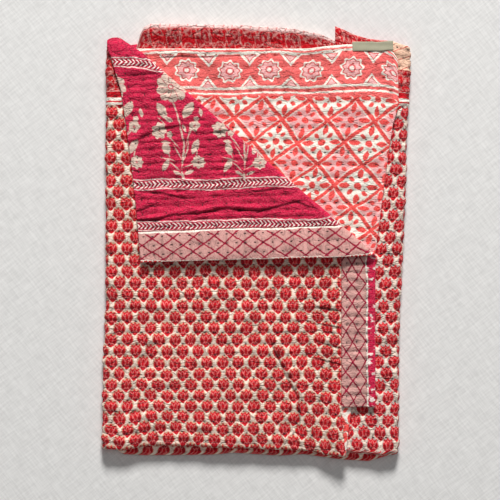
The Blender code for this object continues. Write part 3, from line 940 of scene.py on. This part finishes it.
def turned_print(draw):
    """The crimson part of the inner face: chevron stripes and a row of sprigs."""
    x, y = draw.split(draw.place)
    cell = draw.repeat(draw.place, (61.0, 400.0), (178.0, 121.0))
    colour = draw.paint(CRIMSON, (SPRIG, sprig(draw, cell)))
    # The first stripe droops at the turned edge, the second rises once and the third leans.
    droop = draw.math("MULTIPLY_ADD", x, 1 / 28, -135 / 28, clamp=True)
    hump = draw.math("SUBTRACT", 1.0, abs((x - 261) * (1 / 48)), clamp=True)
    for centre, slope, moved in (
        (62.0, 0.0, droop * -6.0), (184.5, 0.0, hump * 3.0), (227.7, 0.034, 0.0),
    ):
        level = (x - 138) * slope + moved
        colour = chevrons(draw, x, y + level, colour, centre)
    return colour


def triangle(draw, x, y, tip, base, half):
    """Distance to a triangle standing on a line, from its tip's height to its base's."""
    rise = base - tip
    slope = math.hypot(half, rise)
    sides = abs(x) * (abs(rise) / slope) - (y - tip) * (half / slope * (1 if rise > 0 else -1))
    foot = y - base if rise > 0 else base - y
    return draw.most(sides, foot)


def coral_print(draw):
    """The coral part of the inner face: a border of stars and triangles over a trellis of flowers."""
    x, y = draw.split(draw.place)
    # Trellis, in its own leaning cells.
    first, second = (-28.2, 20.7), (18.0, 22.3)
    area = first[0] * second[1] - first[1] * second[0]
    dx, dy = x - 262.9, y - 96.5
    one = dx * (second[1] / area) + dy * (-second[0] / area)
    two = dx * (-first[1] / area) + dy * (first[0] / area)
    even = (draw.math("FLOOR", one) + draw.math("FLOOR", two)) % 2.0
    u, v = (draw.math("FRACT", field) - 0.5 for field in (one, two))
    cell = draw.join(u * first[0] + v * second[0], u * first[1] + v * second[1])
    far = (0.5 - draw.most(abs(u), abs(v))) * 26.0
    petals = draw.shapes(cell, (
        (2.9, -12.4, 5.6, 2.7, 105), (-2.3, 12.2, 5.6, 2.7, 105),
        (-13.1, -0.7, 5.8, 2.6, 4), (13.3, 0.3, 5.8, 2.6, 4),
    ), (
        (7.4, -6.3, 3.2, 1.9, -38), (-5.4, -6.5, 2.9, 2.0, 38),
        (-7.6, 5.4, 3.2, 1.9, -38), (5.6, 6.2, 2.9, 2.0, 38), (0, 0, 3.6, 3.2, 20),
    ))
    trellis = draw.paint(
        PINK, (CREAM, even), (CREAM, draw.inside(far - 2.6) * 0.8),
        (CORAL, draw.inside(petals)), (CORAL, draw.inside(far - 1.55)),
    )

    # Border of stars between triangles.
    step = 41.2
    across = (x - (187.6 - step / 2)) % step - step / 2
    between = (x - 187.6) % step - step / 2
    angle, reach = draw.polar(draw.join(across, y - 68.6))
    points = draw.math("COSINE", angle * 9.0 + 0.6)
    inner = reach - (points * 0.9 + 8.6)
    border = draw.paint(
        CORAL, (PINK, 0.16), (CREAM, draw.inside(reach - (points * 1.25 + 11.2))),
        (PINK, draw.inside(inner)), (RED, draw.outline(inner, 1.3) * 0.85),
        (RED, draw.outline(reach - 3.3, 1.3) * 0.85), (CREAM, draw.inside(reach - 2.0)),
    )
    for tip, base, half in ((63.6, 49.6, 11.5), (73.6, 88.0, 11.5)):
        for grow, paint in ((0.0, CREAM), (2.3, RED), (3.1, PINK)):
            shape = triangle(draw, between, y, tip, base, half)
            border = draw.paint(border, (paint, draw.inside(shape + grow, 0.4)))
    line_on_border = draw.inside(84.9 - y) * draw.bar(y, 86.4, 1.4)
    for mask in (line_on_border, draw.bar(y, 49.4, 1.1), draw.inside(y - 46.2)):
        border = draw.paint(border, (CREAM, mask))
    # Lines between the border and the trellis, the last one scalloped.
    scallop = abs(draw.math("SINE", x * 0.29))
    under = scallop * 1.2 + x * 0.02 + 89.9
    return draw.paint(trellis, (border, draw.inside(y - under)), (CREAM, draw.bar(y, 92.4, 0.95)))


def lattice(draw, side, along, period, starts):
    """Fine crossing lines. starts are the phases of the two families."""
    colour = LATTICE
    for sign, start in zip((1.0, -1.0), starts):
        phase = side * (1 / period) + along * (sign / 19.2) + start
        folded = abs(draw.math("FRACT", phase) - 0.5)
        colour = draw.paint(colour, (LATTICE_LINE, draw.inside(folded * 11.0 - 0.7, 0.35)))
    return colour


def band_outside(draw):
    """The band's outer face: the lattice, a pale line and a crimson edge with pale dashes."""
    side, along = draw.split(draw.place)
    colour = lattice(draw, side, along, 13.6, (0.9, 0.4525))
    noise = draw.noise(draw.vector("MULTIPLY", draw.place, (0.12, 0.2, 0)), 1.0)
    hem = draw.paint(CRIMSON, (CHEVRON, draw.math("MULTIPLY_ADD", noise, 9.0, -5.1, clamp=True)))
    return draw.paint(colour, (hem, draw.inside(27.0 - side)), (CREAM, draw.bar(side, 26.4, 0.7)))


def band_inside(draw):
    """The band's inner face: the lattice up to a pale overcast hem."""
    side, along = draw.split(draw.place)
    dash = draw.inside(along % 4.2 - 3.0)
    return draw.paint(
        lattice(draw, side, along, 15.5, (0.68, 0.42)), (LATTICE_LINE, 0.07),
        (CREAM, draw.bar(side, 0.9, 0.8)), (CREAM, draw.bar(side, 32.9, 0.9)),
        (RED, dash * draw.bar(side, 33.6, 0.9)),
    )


# Shared effects, as node groups.


def new_sockets(tree, direction, rows):
    for name, kind, *value in rows:
        made = tree.interface.new_socket(name, in_out=direction, socket_type="NodeSocket" + kind)
        if value:
            made.default_value = value[0]


def new_group(name, kind, inputs, outputs):
    """A drawing in an empty node group, the group's inputs as fields, and its output node."""
    tree = bpy.data.node_groups.new(name, kind)
    new_sockets(tree, "INPUT", inputs)
    new_sockets(tree, "OUTPUT", outputs)
    draw = Drawing(tree)
    given = [Field(draw, socket) for socket in tree.nodes.new("NodeGroupInput").outputs[:len(inputs)]]
    return draw, given, tree.nodes.new("NodeGroupOutput")


def print_group():
    """Hand-block printing on puckered cloth: the place drifts slowly and wanders finely."""
    inputs = ("Place", "Vector"), ("Drift", "Float", 3.2), ("Wander", "Float", 0.8)
    draw, (place, drift, wander), end = new_group(
        "hand_block_place", "ShaderNodeTree", inputs, [("Place", "Vector")]
    )
    moved = place
    for amount, scale in ((drift, 0.022), (wander, 0.3)):
        shift = draw.vector("SUBTRACT", draw.noise(place, scale, output="Color"), (0.5, 0.5, 0.5))
        shift = draw.vector("MULTIPLY", draw.vector("MULTIPLY", shift, (1, 1, 0)), amount * 2.0)
        moved = draw.vector("ADD", moved, shift)
    draw.feed(end, (moved,))
    return draw.tree


def cotton_group():
    """Washed hand-printed cotton: uneven dye, weave, fine creases, and painted shade in creases and quilting
    valleys. Puts out colour, roughness, height.
    """
    draw, (place, colour, thread, fading, creasing, puff, crease), end = new_group(
        "washed_cotton", "ShaderNodeTree",
        (
            ("Place", "Vector"), ("Colour", "Color"), ("Thread", "Float", 0.42), ("Fading", "Float", 0.6),
            ("Creasing", "Float", 1.0), ("Puff", "Float", 1.0), ("Crease", "Float", 0.0),
        ),
        (("Colour", "Color"), ("Roughness", "Float"), ("Height", "Float")),
    )

    def noise(scale, detail, stretch=(1, 1)):
        return draw.noise(draw.vector("MULTIPLY", place, (*stretch, 1)), scale, detail)

    def valleys(scale, stretch, width):
        """Thin wandering valleys, 1 at their bottom."""
        away = abs(noise(scale, 2.0, stretch) - 0.5)
        return draw.math("MULTIPLY_ADD", away, -1.0 / width, 1.0, clamp=True)

    x, y = draw.split(place)
    turns = draw.math("DIVIDE", math.pi, thread)
    weave = draw.math("SINE", x * turns) * draw.math("SINE", y * turns)
    slub = noise(1.0, 3.0, (0.25, 2.2)) + noise(1.0, 3.0, (2.2, 0.25))
    speck = noise(0.7, 4.0)
    shade = noise(0.05, 4.0) * 0.7 + speck * 0.6 + slub * 0.2 - 0.85
    level = valleys(0.055, (0.7, 1.8), 0.035) * valleys(0.13, (1, 1), 0.3)
    fine = valleys(0.16, (0.8, 1.5), 0.06) * valleys(0.07, (1, 1), 0.25)
    folds = (fine * 0.6 + level) * creasing
    between = 1.0 - puff
    # Painted shade: the colour darkens in the fine creases (folds), in the quilting's valleys and thread
    # dimples (puff), and along the listed creases' near-side bottoms (crease); shade and speck are uneven
    # dye.
    value = shade * fading + 1.1 + weave * 0.05 - folds * 0.2 - between * between * 0.4 - crease * 0.65
    soft = noise(0.2, 3.0, (0.8, 1.3)) * 1.3
    height = soft * creasing - folds * 1.3 - crease + slub * 0.06 + weave * 0.045
    tuned = draw.made("ShaderNodeHueSaturation", {
        "Color": colour, "Value": value, "Saturation": speck * -0.25 + 1.12,
    })
    draw.feed(end, (tuned, slub * 0.12 + 0.76, height))
    return draw.tree


def crease_lines(draw, rows):
    """The sharp bottoms of the listed creases, on the near side of their crests."""
    # The cotton materials darken these bottoms as painted shade, below each crest where shade falls, and also
    # lower the bump there.
    shapes = []
    for x0, y0, x1, y1, _, half in rows:
        length = math.hypot(x1 - x0, y1 - y0)
        middle = (
            (x0 + x1) / 2 - 0.8 * half * (y1 - y0) / length, (y0 + y1) / 2 + 0.8 * half * (x1 - x0) / length
        )
        turn = math.degrees(math.atan2(y1 - y0, x1 - x0))
        shapes.append(draw.leaf(draw.place, middle, (length / 2 + 4, 1.0), turn))
    return draw.inside(draw.least(shapes), 0.8)


def once(build):
    """Builds a shared group the first time that it is asked for."""
    made = []

    def get():
        if not made:
            made.append(build())
        return made[0]

    return get


EDGE_GROUP = once(print_group)
COTTON_GROUP = once(cotton_group)


def new_material(name):
    """A material, its shader and a drawing in its tree."""
    material = bpy.data.materials.new(name)
    material.use_nodes = True
    return material, material.node_tree.nodes["Principled BSDF"], Drawing(material.node_tree)


def cotton(name, pattern, fading=0.6, creasing=1.0):
    """A printed cotton material. pattern draws its colour in the piece's own print places."""
    material, shader, draw = new_material(name)
    scale = (PRINT_SCALE, PRINT_SCALE, 0)
    units = draw.vector("MULTIPLY", draw.made("ShaderNodeUVMap", uv_map="print"), scale)
    draw.place = draw.group(EDGE_GROUP(), {"Place": units}, "Place")
    # The crease lines and the puff attribute darken the colour as painted shade in creases and quilting
    # valleys.
    crease = crease_lines(draw, SHARP_CREASES[name]) if name in SHARP_CREASES else 0.0
    colour = draw.group(COTTON_GROUP(), {
        "Place": units, "Colour": pattern(draw), "Fading": fading, "Creasing": creasing, "Crease": crease,
        "Puff": draw.made("ShaderNodeAttribute", (), "Fac", attribute_name="puff"),
    }, "Colour")
    bump = draw.made("ShaderNodeBump", {"Distance": 0.0012, "Height": colour.beside("Height")})
    draw.feed(shader, {
        "Base Color": colour, "Roughness": colour.beside("Roughness"), "Normal": bump,
        "Sheen Weight": 0.05, "Sheen Roughness": 0.5, "Specular IOR Level": 0.15,
    })
    return material


def plain_material(name, colour, roughness=0.8, mottle=0.25, scale=900.0):
    """A single-dye fabric or thread, mottled in Object coordinates."""
    material, shader, draw = new_material(name)
    noise = draw.noise(draw.made("ShaderNodeTexCoord", (), "Object"), scale, 3.0, across="3D")
    dark = (*(c * (1 - mottle) for c in colour[:3]), 1.0)
    draw.feed(shader, {
        "Base Color": draw.paint(dark, (colour, noise)), "Roughness": roughness, "Sheen Weight": 0.1,
        "Normal": draw.made("ShaderNodeBump", {"Distance": 0.0002, "Height": noise}),
    })
    return material


def linen(name, colour):
    """A pale woven cloth, in Object coordinates."""
    material, shader, draw = new_material(name)
    where = draw.made("ShaderNodeTexCoord", (), "Object")
    one, two = (
        draw.noise(draw.local(where, (0, 0), turn, (1 / 40, 1 / 330)), 1.0, across="3D") for turn in (38, 128)
    )
    weave = draw.math("MULTIPLY_ADD", one + two, 1.6, -1.1, clamp=True)
    dark = (*(c * 0.82 for c in colour[:3]), 1.0)
    draw.feed(shader, {
        "Base Color": draw.paint(dark, (colour, weave)), "Roughness": 0.9, "Specular IOR Level": 0.2,
    })
    return material


# Stitches.


def stitch_places(name, across_range, down_range, rng):
    """Flat places of the threads of one part, row by row."""
    kind = QUILTING[name]
    axis, row, first = kind["rows"]
    lengthwise = axis == "across"
    over_range, along_range = (across_range, down_range) if lengthwise else (down_range, across_range)
    if axis == "up":
        over_range = (DOWN - down_range[1], DOWN - down_range[0])
    found = []
    for index in range(math.ceil((over_range[0] - first) / row), int((over_range[1] - first) / row) + 1):
        start = kind["first"] + kind["shift"] * index
        low = math.ceil((along_range[0] - start) / kind["pitch"])
        high = int((along_range[1] - start) / kind["pitch"])
        for step in range(low, high + 1):
            over = first + row * index + rng.uniform(-0.3, 0.3)
            along = start + kind["pitch"] * step + rng.uniform(-0.5, 0.5)
            down = DOWN - over if axis == "up" else over
            found.append((over, along) if lengthwise else (along, down))
    return np.array(found).T


def stitch_points(across, down, inner, band):
    """Centre, direction and outward direction of each thread on the cloth's surface."""
    sides = np.full_like(across, -1.0 if inner else 1.0)
    step = np.array((0.0, 1.0) if band else (1.0, 0.0))
    reach, beside = 1.3 * step, 2.5 * step[::-1]

    def surface(shift):
        return cloth_points(across + shift[0], down + shift[1], sides, band)[0]

    direction = surface(reach) - surface(-reach)
    outward = np.cross(direction, surface(beside) - surface(-beside))
    outward /= np.linalg.norm(outward, axis=1)[:, None]
    here = (surface(np.zeros(2)) + surface(reach) + surface(-reach)) / 3
    inside = fold(across, down, 0 * across)[0]
    outward *= np.sign(np.sum((here - inside) * outward, axis=1))[:, None]
    return here, direction, outward


def onto_surface(obj, points, outward):
    """The points moved onto an object's surface, along their outward directions."""
    mesh = obj.data
    tree = BVHTree.FromPolygons([v.co for v in mesh.vertices], [p.vertices for p in mesh.polygons])
    moved = points.copy()
    for i, (point, away) in enumerate(zip(points, outward)):
        hit = tree.ray_cast(Vector(point + 0.004 * away), Vector(-away), 0.008)[0]
        if hit is not None:
            moved[i] = np.array(hit) + 0.00015 * away
    return moved


def thread_nodes():
    """Geometry nodes that lay one thread on each point, along its direction."""
    draw, (points, length, width, uneven, seed, material), end = new_group(
        "running_stitches", "GeometryNodeTree",
        (
            ("Points", "Geometry"), ("Length", "Float", 0.0046), ("Width", "Float", 0.0009),
            ("Unevenness", "Float", 0.3), ("Seed", "Int", 4), ("Material", "Material"),
        ),
        [("Threads", "Geometry")],
    )
    capsule = draw.made("GeometryNodeMeshUVSphere", {"Segments": 6, "Rings": 4, "Radius": 0.5})
    turned = {}
    for axis, pivot, name in (("X", "AUTO", "direction"), ("Z", "X", "outward")):
        aim = draw.made("GeometryNodeInputNamedAttribute", (name,), data_type="FLOAT_VECTOR")
        turned["Rotation"] = draw.made(
            "FunctionNodeAlignRotationToVector", {**turned, "Vector": aim}, axis=axis, pivot_axis=pivot
        )
    share = draw.made(
        "FunctionNodeRandomValue", {2: 1.0 - uneven, 3: 1.0 + uneven, "Seed": seed}, 1, data_type="FLOAT"
    )
    size = draw.join(length * share, width, width)
    placed = draw.made("GeometryNodeInstanceOnPoints", {
        "Points": points, "Instance": capsule, "Rotation": turned["Rotation"], "Scale": size,
    })
    real = draw.made("GeometryNodeRealizeInstances", (placed,))
    finished = draw.made("GeometryNodeSetMaterial", {"Geometry": real, "Material": material})
    draw.feed(end, (draw.made("GeometryNodeSetShadeSmooth", (finished,)),))
    return draw.tree


def threads(name, points, direction, outward, material, sizes):
    """One object of all the threads of a part."""
    tree = bpy.data.node_groups.get("running_stitches") or thread_nodes()
    mesh = bpy.data.meshes.new(name + "_points")
    mesh.from_pydata([tuple(p) for p in points], [], [])
    for key, values in (("direction", direction), ("outward", outward)):
        write(mesh.attributes.new(key, "FLOAT_VECTOR", "POINT").data, "vector", values)
    source = put_in_scene(name + "_points", mesh)
    modifier = source.modifiers.new("Stitches", "NODES")
    modifier.node_group = tree
    sockets = {item.name: item.identifier for item in tree.interface.items_tree if item.in_out == "INPUT"}
    modifier[sockets["Length"]] = sizes.stitch_length
    modifier[sockets["Width"]] = sizes.thread_width
    modifier[sockets["Material"]] = material
    made = plain_mesh(source)
    made.name = name
    if made.materials[0] is None:
        made.materials.pop(index=0)
    obj = put_in_scene(name, made)
    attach(obj, "root")
    return obj


# User settings.


def length(name, description, default, low, high):
    return FloatProperty(
        name=name, description=description, default=default, min=low, max=high, unit="LENGTH"
    )


def colour(name, description, *shade):
    return FloatVectorProperty(
        name=name, description=description, subtype="COLOR", size=4, min=0, max=1, default=tone(*shade)
    )


class BedspreadSizes(bpy.types.PropertyGroup):
    """Sizes that can be changed without changing how the cloth is folded."""

    stitch_length: length("Stitch length", "Length of a running stitch that shows", 0.0042, 0.001, 0.01)
    thread_width: length("Thread width", "Width of the quilting thread", 0.0015, 0.0003, 0.002)
    camera_height: length("Camera height", "Height of the camera above the floor", 2.5, 1.0, 10.0)


class BedspreadColours(bpy.types.PropertyGroup):
    """Colours of threads, tab and floor."""

    red_thread: colour("Red thread", "Thread along the coral leaf's hem", 206, 58, 34)
    dark_thread: colour("Dark thread", "Thread of the other parts", 44, 8, 14)
    tab: colour("Tab", "Sewn tab", 184, 179, 152)
    floor: colour("Floor", "Pale floor", 237, 236, 234)


class BEDSPREAD_OT_quilt(bpy.types.Operator):
    """Adds the folded quilt"""

    bl_idname = "bedspread.quilt"
    bl_label = "Folded Quilt"

    def execute(self, context):
        obj = lay_cloth("folded_quilt", thicken(flat_quilt()))
        obj.data.materials.append(cotton("tulip_cotton", outside_print))
        obj.data.materials.append(cotton("crimson_cotton", turned_print, fading=0.42))
        obj.data.materials.append(cotton("coral_cotton", coral_print, creasing=0.65))
        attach(obj, "root")
        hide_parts("bedspread")
        return {"FINISHED"}


class BEDSPREAD_OT_band(bpy.types.Operator):
    """Adds the lattice border band"""

    bl_idname = "bedspread.band"
    bl_label = "Border Band"

    def execute(self, context):
        obj = lay_cloth("lattice_band", thicken(flat_band()), band=True)
        obj.data.materials.append(cotton("lattice_cotton", band_outside, 0.5, 0.55))
        obj.data.materials.append(cotton("lattice_inside_cotton", band_inside, 0.5, 0.5))
        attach(obj, "root")
        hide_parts("border_band")
        return {"FINISHED"}


class BEDSPREAD_OT_tab(bpy.types.Operator):
    """Adds the woven tab at the coral leaf's hem"""

    bl_idname = "bedspread.tab"
    bl_label = "Woven Tab"

    def execute(self, context):
        solid = thicken(grid(steps(-0.5, 0.5, 1 / 40), steps(-0.5, 0.5, 1 / 12)))
        along, side, up = flat_places(solid)
        round_end = np.sqrt(np.clip((0.5 - np.abs(side)) * 8, 0, 1)) * 0.7 + 0.3
        bow = 0.35 * waves(along * 40, side * 2, 22, 31)
        along, side = along * LABEL["long"], side * LABEL["wide"] + bow
        x = LABEL["x"] + along * math.cos(LABEL["tilt"]) - side * math.sin(LABEL["tilt"])
        y = LABEL["y"] + along * math.sin(LABEL["tilt"]) + side * math.cos(LABEL["tilt"])
        half = CLOTH / 2 * mix(HEM_SHARE, LABEL_HOLD, smooth((y - INNER_HEM) / 5))
        under = 2 * PIVOT - PACKET + CLOTH / 2 + half + LABEL_GAP + rise_over_return(x, y)
        thick = LABEL["thick"] * (0.5 + 0.5 * up * round_end)
        height = (under + thick + 0.00025 * waves(x, y, 12, 33)) * (1 + unevenness(x, y))
        write(solid.vertices, "co", metres(x, y, height))
        obj = finish_shell("woven_tab", solid)
        colours = context.scene.bedspread_colours
        obj.data.materials.append(plain_material("tab_tape", colours.tab, 0.75, 0.4, 1400.0))
        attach(obj, "root")
        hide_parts("label_tab")
        return {"FINISHED"}


class BEDSPREAD_OT_stitches(bpy.types.Operator):
    """Adds the running stitches of each part that shows"""

    bl_idname = "bedspread.stitches"
    bl_label = "Running Stitches"

    def execute(self, context):
        sizes, colours = context.scene.bedspread_sizes, context.scene.bedspread_colours
        rng = np.random.default_rng(8)
        red = plain_material("orange_red_thread", colours.red_thread)
        dark = plain_material("dark_thread", colours.dark_thread)
        under = (OUTER + CREASE + 150, DOWN - 4)
        plans = (
            ("front", "front", (3, OVER + BEND / 2), (4, OUTER - 3), dark),
            ("front", "narrow", (RETURN_0 - BEND / 2, RETURN_0 + 30), (4, OUTER - 3), dark),
            ("coral", "coral", (3, CORAL_SIDE), under, dark),
            ("coral", "border", (3, CORAL_SIDE), under, red),
            ("turned", "turned", (3, OVER), (4, OUTER), dark),
            ("band", "band", (-BAND_WIDTH + 3, -3), (200, BAND_LENGTH - 4), dark),
            ("band", "band_turned", (-BAND_WIDTH + 3, -3), (4, 235), dark),
        )
        for kind, name, across_range, down_range, material in plans:
            across, down = stitch_places(kind, across_range, down_range, rng)
            out = corner_out(across, down)
            in_border = DOWN - down < 70
            keep = {
                "front": (out < -6) & front_bare(across, down), "narrow": across > 0,
                "coral": coral_bare(across, down) & ~in_border,
                "border": coral_bare(across, down) & in_border,
                "turned": out > ROLL, "band": out < -6, "band_turned": out > ROLL,
            }[name]
            band, inner = kind == "band", kind == "coral" or name in INNER_PARTS
            points, direction, outward = stitch_points(across[keep], down[keep], inner, band)
            piece = bpy.data.objects["lattice_band" if band else "folded_quilt"]
            points = onto_surface(piece, points, outward)
            threads(name + "_stitches", points, direction, outward, material, sizes)
        return {"FINISHED"}


class BEDSPREAD_OT_stage(bpy.types.Operator):
    """Adds the floor, the lights and the camera"""

    bl_idname = "bedspread.stage"
    bl_label = "Stage"

    def execute(self, context):
        scene = context.scene
        data = bpy.data.meshes.new("floor")
        data.from_pydata([(-6, -6, 0), (6, -6, 0), (6, 6, 0), (-6, 6, 0)], [], [(0, 1, 2, 3)])
        floor = put_in_scene("floor", data)
        data.materials.append(linen("floor_linen", scene.bedspread_colours.floor))

        for name, place, size, power, colour in (
            ("key", (0.2, 6.2, 4.1), 1.9, 695, (1.0, 0.992, 0.98)),
            ("fill", (0.3, 0.4, 3.2), 2.4, 14, (0.97, 0.98, 1.0)),
        ):
            light = bpy.data.lights.new(name, "AREA")
            light.shape, light.size, light.energy, light.color = "DISK", size, power, colour
            lamp = put_in_scene(name, light)
            lamp.location = place
            lamp.rotation_euler = (-Vector(place)).to_track_quat("-Z", "Y").to_euler()

        world = bpy.data.worlds.new("room")
        world.use_nodes = True
        background = world.node_tree.nodes["Background"]
        background.inputs["Color"].default_value = (1, 1, 1, 1)
        background.inputs["Strength"].default_value = 0.13
        scene.world = world
        scene.view_settings.view_transform = "Standard"

        height = scene.bedspread_sizes.camera_height
        data = bpy.data.cameras.new("camera")
        data.sensor_width = 36.0
        data.lens = data.sensor_width * (height - PICTURE_HEIGHT) / (PICTURE * UNIT)
        camera = put_in_scene("camera", data)
        camera.location = metres(PICTURE / 2, PICTURE / 2, height)
        scene.camera = camera
        return {"FINISHED"}


class BEDSPREAD_PT_pieces(bpy.types.Panel):
    """Lists the pieces and their settings"""

    bl_label = "Bedspread"
    bl_idname = "BEDSPREAD_PT_pieces"
    bl_space_type = "VIEW_3D"
    bl_region_type = "UI"
    bl_category = "Bedspread"

    def draw(self, context):
        layout = self.layout
        for operator in OPERATORS:
            layout.operator(operator.bl_idname)
        for group in (context.scene.bedspread_sizes, context.scene.bedspread_colours):
            for name in group.bl_rna.properties.keys():
                if name not in ("rna_type", "name"):
                    layout.prop(group, name)


OPERATORS = (
    BEDSPREAD_OT_quilt, BEDSPREAD_OT_band, BEDSPREAD_OT_tab, BEDSPREAD_OT_stitches, BEDSPREAD_OT_stage,
)
CLASSES = (BedspreadSizes, BedspreadColours, *OPERATORS, BEDSPREAD_PT_pieces)


def register():
    for item in CLASSES:
        bpy.utils.register_class(item)
    bpy.types.Scene.bedspread_sizes = PointerProperty(type=BedspreadSizes)
    bpy.types.Scene.bedspread_colours = PointerProperty(type=BedspreadColours)


def unregister():
    del bpy.types.Scene.bedspread_colours
    del bpy.types.Scene.bedspread_sizes
    for item in reversed(CLASSES):
        bpy.utils.unregister_class(item)


def main():
    register()
    bpy.ops.bedspread.stage()
    bpy.ops.bedspread.quilt()
    bpy.ops.bedspread.band()
    bpy.ops.bedspread.tab()
    bpy.ops.bedspread.stitches()


if __name__ == "__main__":
    main()
